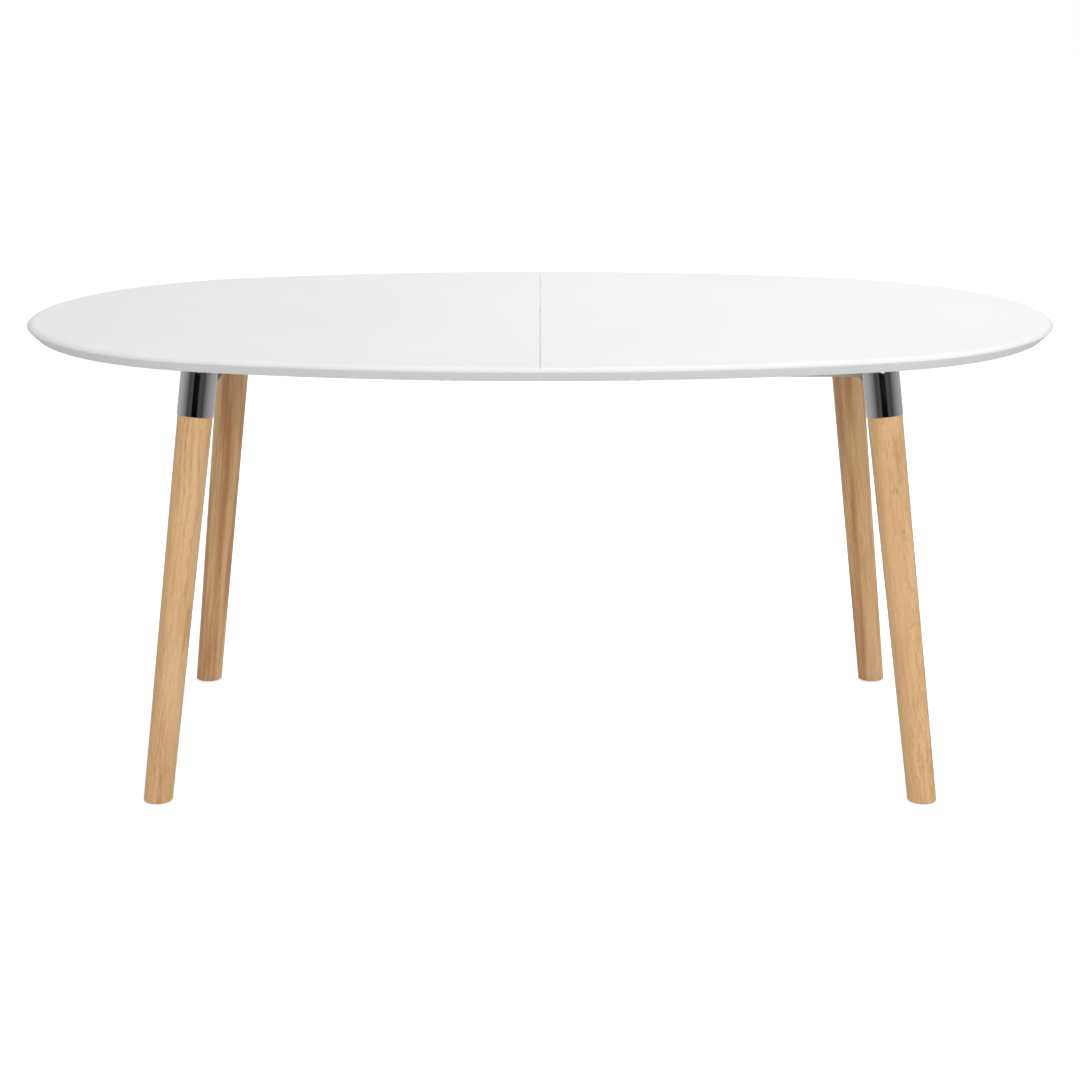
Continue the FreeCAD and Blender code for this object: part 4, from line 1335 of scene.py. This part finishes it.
def ribbed_knob(finish: Finish) -> Graph:
    """Tree for a finger knob with grip ribs, a domed end and a neck."""
    graph = Graph("Ribbed knob", {"Radius": 6 * MM, "Height": 14 * MM, "Rib Depth": 0.45 * MM,
                                  "Ribs": 18.0, "Round": 2 * MM, "Neck Radius": 2.5 * MM,
                                  "Neck Length": 4 * MM})
    size = graph.size

    def rounded(from_end: Num) -> Num:
        """Quarter circle at the rim."""
        left = (size("Round") - from_end).at_least(0.0)
        return size("Round") - (size("Round") * size("Round") - left * left).root()

    shaped = grooved_bar(graph, (144, 36), size("Height"), size("Rib Depth"), size("Ribs"),
                         rounded)
    hung = graph.moved(shaped, graph.vector(z=size("Height") * -0.5))
    neck = graph.node("GeometryNodeMeshCylinder", {}, {
        "Vertices": 32, "Radius": size("Neck Radius"), "Depth": size("Neck Length")})
    raised = graph.moved(neck.outputs[0], graph.vector(z=size("Neck Length") * 0.5))
    graph.close_on_points(graph.join(hung, raised), finish)
    return graph


@dataclass(frozen=True)
class Eased:
    """A hardware piece with its node's outline and small broken edges."""

    node: str
    body: str
    finish: Finish
    width: float = 0.35 * MM
    steps: int = 2

    def build(self) -> bpy.types.Object:
        """Copy the node's mesh, merge it and bevel its corners."""
        bm = bmesh.new()
        bm.from_mesh(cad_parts[self.node].data)
        bmesh.ops.remove_doubles(bm, verts=bm.verts, dist=2e-6)
        bmesh.ops.dissolve_limit(bm, angle_limit=math.radians(0.5), verts=bm.verts,
                                 edges=bm.edges)
        mesh = bpy.data.meshes.new(self.node)
        bm.to_mesh(mesh)
        bm.free()
        copy = bpy.data.objects.new(f"{self.node}.eased", mesh)
        bpy.context.scene.collection.objects.link(copy)
        bevel = copy.modifiers.new("Ease", "BEVEL")
        bevel.width = self.width
        bevel.segments = self.steps
        bevel.limit_method = "ANGLE"
        bevel.angle_limit = math.radians(40)
        return Shape.applied(copy, 40.0)

    def dress(self) -> None:
        """Put the eased copy in place of its node."""
        dress(self.build(), self.finish, self.body, self.node)


@dataclass(frozen=True)
class Kept:
    """A hardware piece that keeps its node's own mesh."""

    node: str
    finish: Finish

    def dress(self) -> None:
        """Give the node its finish."""
        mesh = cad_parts[self.node].data
        mesh.materials.clear()
        mesh.materials.append(self.finish.material())
        LOG.info("%s keeps its own mesh: %d faces", self.node, len(mesh.polygons))


# ------------------------------------------------------------------ finishes
@dataclass(frozen=True)
class Finishes:
    """Every finish on the table."""

    lacquer: Finish = Lacquer("satin_white_lacquer", "white_lacquer")
    collar: Finish = Metal("polished_collar", "polished_collar", color=(0.75, 0.755, 0.77, 1),
                           tint=(0.70, 0.71, 0.73, 1), roughness=0.05, roughness_spread=0.04,
                           grain=(40.0, 40.0, 900.0), bump=0.04)
    coat: Finish = Coating("black_powder_coat", "black_coat")
    aluminium: Finish = Metal("extruded_aluminium", "runner_aluminium",
                              color=(0.66, 0.67, 0.68, 1), tint=(0.60, 0.61, 0.63, 1),
                              roughness=0.30, grain=(3.0, 1400.0, 1400.0), bump=0.25)
    zinc: Finish = Metal("zinc_plated_steel", "zinc_steel", color=(0.58, 0.60, 0.63, 1),
                         tint=(0.64, 0.61, 0.52, 1), roughness=0.26, grain=(260.0, 260.0, 260.0))
    nylon: Finish = Coating("natural_nylon", "nylon", color=(0.70, 0.68, 0.62, 1),
                            worn=(0.60, 0.57, 0.50, 1), roughness=0.45, skin=500.0, strength=0.2)
    plastic: Finish = Coating("moulded_black", "black_plastic", color=(0.022, 0.022, 0.022, 1),
                              worn=(0.06, 0.058, 0.055, 1), roughness=0.52, skin=700.0)
    beech: Finish = Oak("dowel_beech", "dowel_beech", turn=(0.0, math.pi / 2, 0.0),
                        pith=(0.03, 0.02), light=(0.68, 0.46, 0.28, 1),
                        deep=(0.58, 0.36, 0.20, 1), pale=(0.74, 0.54, 0.36, 1),
                        heartwood=0.0, ring_gap=0.0018, lean=0.012)
    leg_piths: tuple[tuple[float, float], ...] = (
        (0.055, 0.020), (0.038, -0.040), (0.048, 0.036), (0.060, -0.022))
    leg_heartwood: tuple[float, float] = (0.16, 0.72)
    leg_spacing: float = 0.9

    def oak(self, stance: Stance) -> Finish:
        """Oak that runs along one leg, cut from its own place in the board."""
        number = CORNERS.index((stance.row, stance.side))
        front, rear = self.leg_heartwood
        origin = stance.foot + stance.axes[0] * (-self.leg_spacing * number)
        return Oak(f"oak_{stance.name}", "oak", origin=tuple(origin), turn=stance.turn,
                   pith=self.leg_piths[number],
                   heartwood=front if stance.row is Row.FRONT else rear)


# ------------------------------------------------------------------ hardware
@dataclass
class Hardware:
    """Runners, gears, latches and fasteners under the top."""

    finishes: Finishes

    def dress_eased(self) -> None:
        """Runners, gears, plates and latch parts, each with broken edges."""
        f = self.finishes
        for side in Side:
            for row in Row:
                corner = f"{row.word}_{side.word}"
                Eased(f"runner_channel_{corner}", side.body, f.aluminium, 0.3 * MM).dress()
                Eased(f"rack_{corner}", side.body, f.nylon, 0.12 * MM, 1).dress()
                Eased(f"leg_plate_{corner}", side.body, f.coat, 0.5 * MM).dress()
            Eased(f"runner_brackets_{side.word}", side.body, f.zinc, 0.3 * MM).dress()
            Eased(f"tie_bar_{side.word}", "carriage", f.aluminium, 0.4 * MM).dress()
        for row in Row:
            Eased(f"middle_runner_{row.word}", "carriage", f.aluminium, 0.3 * MM).dress()
            Eased(f"pinion_{row.word}", f"pinion_{row.word}", f.nylon, 0.12 * MM, 1).dress()
            Eased(f"latch_lever_{row.word}", f"latch_{row.word}", f.zinc, 0.4 * MM).dress()
        for node, body in (("latch_plates", "left_half"), ("strike_plates", "right_half"),
                           ("latch_pins", "left_half"), ("strike_pins", "right_half")):
            Eased(node, body, f.zinc, 0.25 * MM).dress()
        Eased("slide_pads", "carriage", f.nylon, 0.3 * MM).dress()
        Eased("tie_hangers", "carriage", f.aluminium, 0.3 * MM).dress()

    def dress_kept(self) -> None:
        """Pieces that sit inside others and keep their own mesh."""
        f = self.finishes
        Kept("pinion_pins", f.zinc).dress()
        for side in Side:
            for node in ("leg_bolts", "rack_screws", "runner_stops"):
                Kept(f"{node}_{side.word}", f.zinc).dress()

    def dress_fasteners(self) -> None:
        """Screws and rivets, each where its node has one."""
        graph = headed_fastener(self.finishes.zinc)
        for side in Side:
            node = f"wood_screws_{side.word}"
            self.screws(graph, node, side.body, 2.6 * MM, 4.2 * MM, 2.1 * MM)
            self.rivets(graph, side)
        self.screws(graph, "tie_screws", "carriage", 2.4 * MM, 4 * MM, 2 * MM)

    def screws(self, graph: Graph, node: str, body: str, head: float, radius: float,
               shank: float) -> None:
        """Drive the screws of one node, grouped by length.

        Args:
            graph: the fastener tree.
            node: the node that they stand for.
            body: the body that they ride on.
            head: height of the head.
            radius: radius of the head.
            shank: radius of the shank.
        """
        groups: dict[float, list[Vector]] = {}
        for low, high in islands(node):
            at = middle((low, high))
            length = round(high.z - low.z - head, 5)
            groups.setdefault(length, []).append(Vector((at.x, at.y, low.z + head)))
        made = [graph.run(f"{node}.{i}", points, Head_Radius=radius, Head_Height=head,
                          Shank_Radius=shank, Shank_Length=length)
                for i, (length, points) in enumerate(sorted(groups.items()))]
        dress(joined(made, f"{node}.driven"), self.finishes.zinc, body, node)

    def rivets(self, graph: Graph, side: Side) -> None:
        """Set the rivets of one half's brackets, heads away from the channels.

        Args:
            graph: the fastener tree.
            side: the half.
        """
        node = f"runner_rivets_{side.word}"
        head = 1.4 * MM
        points, length = [], 0.0
        for low, high in islands(node):
            at = middle((low, high))
            outwards = -side.value * (1 if at.y > 0 else -1)
            seat = (high.y - head) if outwards > 0 else (low.y + head)
            points.append(Vector((at.x, seat, at.z)))
            length = high.y - low.y - head
        piece = graph.run(f"{node}.set", points, Head_Radius=3.5 * MM, Head_Height=head,
                          Shank_Radius=2 * MM, Shank_Length=length, Recess_Width=1.3 * MM,
                          Recess_Depth=0.0, Turn=-side.value * math.pi / 2)
        dress(piece, self.finishes.zinc, side.body, node)

    def dress_small(self) -> None:
        """Dowels in the seam and knobs on the latch levers."""
        pegs = islands("seam_dowels")
        size = pegs[0][1] - pegs[0][0]
        graph = fluted_dowel(self.finishes.beech)
        dowels = graph.run("fluted_dowels", [middle(pair) for pair in pegs], sharp=60.0,
                           Radius=size.z / 2, Length=size.x)
        dress(dowels, self.finishes.beech, Side.LEFT.body, "seam_dowels")
        knobs = ribbed_knob(self.finishes.plastic)
        for row in Row:
            low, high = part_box(f"latch_knob_{row.word}")
            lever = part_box(f"latch_lever_{row.word}")
            at = middle((low, high))
            seat = Vector((at.x, at.y, lever[0].z))
            knob = knobs.run(f"grip_knob_{row.word}", [seat], sharp=50.0,
                             Height=lever[0].z - low.z, Neck_Length=high.z - lever[0].z)
            dress(knob, self.finishes.plastic, f"latch_{row.word}", f"latch_knob_{row.word}")

    def dress(self) -> None:
        """Dress all of it."""
        self.dress_eased()
        self.dress_kept()
        self.dress_fasteners()
        self.dress_small()


def joined(parts: Sequence[bpy.types.Object], name: str) -> bpy.types.Object:
    """Join meshes into one object.

    Args:
        parts: the objects, which are removed.
        name: the joined object's name.

    Returns:
        The joined object.
    """
    bm = bmesh.new()
    for part in parts:
        bm.from_mesh(part.data)
        bpy.data.objects.remove(part)
    mesh = bpy.data.meshes.new(name)
    bm.to_mesh(mesh)
    bm.free()
    return Shape.link(name, mesh)


# ------------------------------------------------------------------ studio
@dataclass(frozen=True)
class Sky:
    """Light from all round, with grey and black panels that stand low at the front.

    Each stop is a turn in degrees from the front, positive to the right, and a grey.
    """

    level: float = 0.65
    background: float = 1.0
    panels: tuple[tuple[float, float], ...] = (
        (-180, 0.90), (-110, 0.83), (-95, 0.76), (-73, 0.50), (-60, 0.36), (-50, 0.16),
        (-40, 0.11), (-30, 0.16), (-22, 0.16), (-18, 0.004), (14, 0.003), (18, 0.14),
        (29, 0.15), (40, 0.12), (47, 0.12), (57, 0.29), (66, 0.40), (80, 0.54), (92, 0.68),
        (110, 0.76), (180, 0.90))
    panel_top: tuple[float, float] = (0.30, 0.50)

    def build(self) -> None:
        """Set the world."""
        world = bpy.data.worlds.new("Studio")
        bpy.context.scene.world = world
        world.use_nodes = True
        world.node_tree.nodes.clear()
        bench = Bench(world.node_tree)
        x, y, z = bench.parts(bench.node("ShaderNodeTexCoord").outputs["Generated"])
        share = x.turn_from(y * -1.0) / TAU + 0.5
        stops = [(degrees / 360 + 0.5, (grey, grey, grey, 1)) for degrees, grey in self.panels]
        ramp = bench.node("ShaderNodeValToRGB", {"stops": stops}, {0: share})
        low = bench.mix(z.step(*self.panel_top), ramp.outputs[0], (1, 1, 1, 1))
        seen = bench.seen
        shown = bench.node("ShaderNodeBackground", {}, {
            "Color": bench.mix(seen, low, (1, 1, 1, 1)),
            "Strength": seen * (self.background - self.level) + self.level})
        bench.node("ShaderNodeOutputWorld", {}, {"Surface": shown.outputs[0]})


@dataclass(frozen=True)
class SoftLight:
    """A square soft light that looks at a place."""

    name: str
    place: Point
    target: Point
    width: float
    power: float

    def build(self) -> None:
        """Add the light."""
        data = bpy.data.lights.new(self.name, "AREA")
        data.shape = "SQUARE"
        data.size = self.width
        data.energy = self.power
        lamp = bpy.data.objects.new(self.name, data)
        lamp.location = self.place
        aim = Vector(self.target) - Vector(self.place)
        lamp.rotation_euler = aim.to_track_quat("-Z", "Y").to_euler()
        bpy.context.scene.collection.objects.link(lamp)


@dataclass(frozen=True)
class Studio:
    """Floor, light and camera."""

    floor_reach: float = 7.0
    lights: tuple[SoftLight, ...] = (
        SoftLight("overhead", (0.9, 0.7, 3.2), (0.1, 0, 0.7), 3.6, 62.0),
        SoftLight("front", (0.7, -4.8, 2.5), (0, -0.3, 0.3), 2.0, 98.0))
    camera_place: Point = (0.0, -4.248, 1.432)
    camera_pitch: float = math.radians(75.717)
    camera_lens: float = 85.47

    def build(self) -> None:
        """Make the floor, the lights and the camera."""
        self.build_floor()
        Sky().build()
        for light in self.lights:
            light.build()
        self.build_camera()

    def build_floor(self) -> None:
        """A wide flat pale floor, kept out of the metal's reflections."""
        reach = self.floor_reach
        bm = bmesh.new()
        corners = [bm.verts.new((x, y, 0)) for x, y in ((-reach, -reach), (reach, -reach),
                                                       (reach, reach), (-reach, reach))]
        bm.faces.new(corners)
        floor = Shape.finish("floor", bm)
        floor.data.materials.append(Ground("studio_floor", "").material())
        floor.visible_glossy = False

    def build_camera(self) -> None:
        """A long lens, a little above the top, looking slightly down."""
        data = bpy.data.cameras.new("camera")
        data.lens = self.camera_lens
        camera = bpy.data.objects.new("camera", data)
        camera.location = self.camera_place
        camera.rotation_euler = (self.camera_pitch, 0, 0)
        bpy.context.scene.collection.objects.link(camera)
        bpy.context.scene.camera = camera
        bpy.context.scene.view_settings.view_transform = "Standard"


def main() -> None:
    """Build the studio and the table, and report each piece."""
    logging.basicConfig(level=logging.INFO, format="%(name)s: %(message)s")
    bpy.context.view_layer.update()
    Studio().build()
    finishes = Finishes()
    beads = weld_bead(finishes.coat)
    for side in Side:
        HalfTop(side, finishes.lacquer).dress()
        EndRail(side, finishes.coat).dress(beads)
        Glides(side, finishes.plastic).dress()
    for row, side in CORNERS:
        stance = Stance(row, side)
        Leg(stance, finishes.oak(stance), finishes.collar).dress()
    Hardware(finishes).dress()


if __name__ == "__main__":
    main()
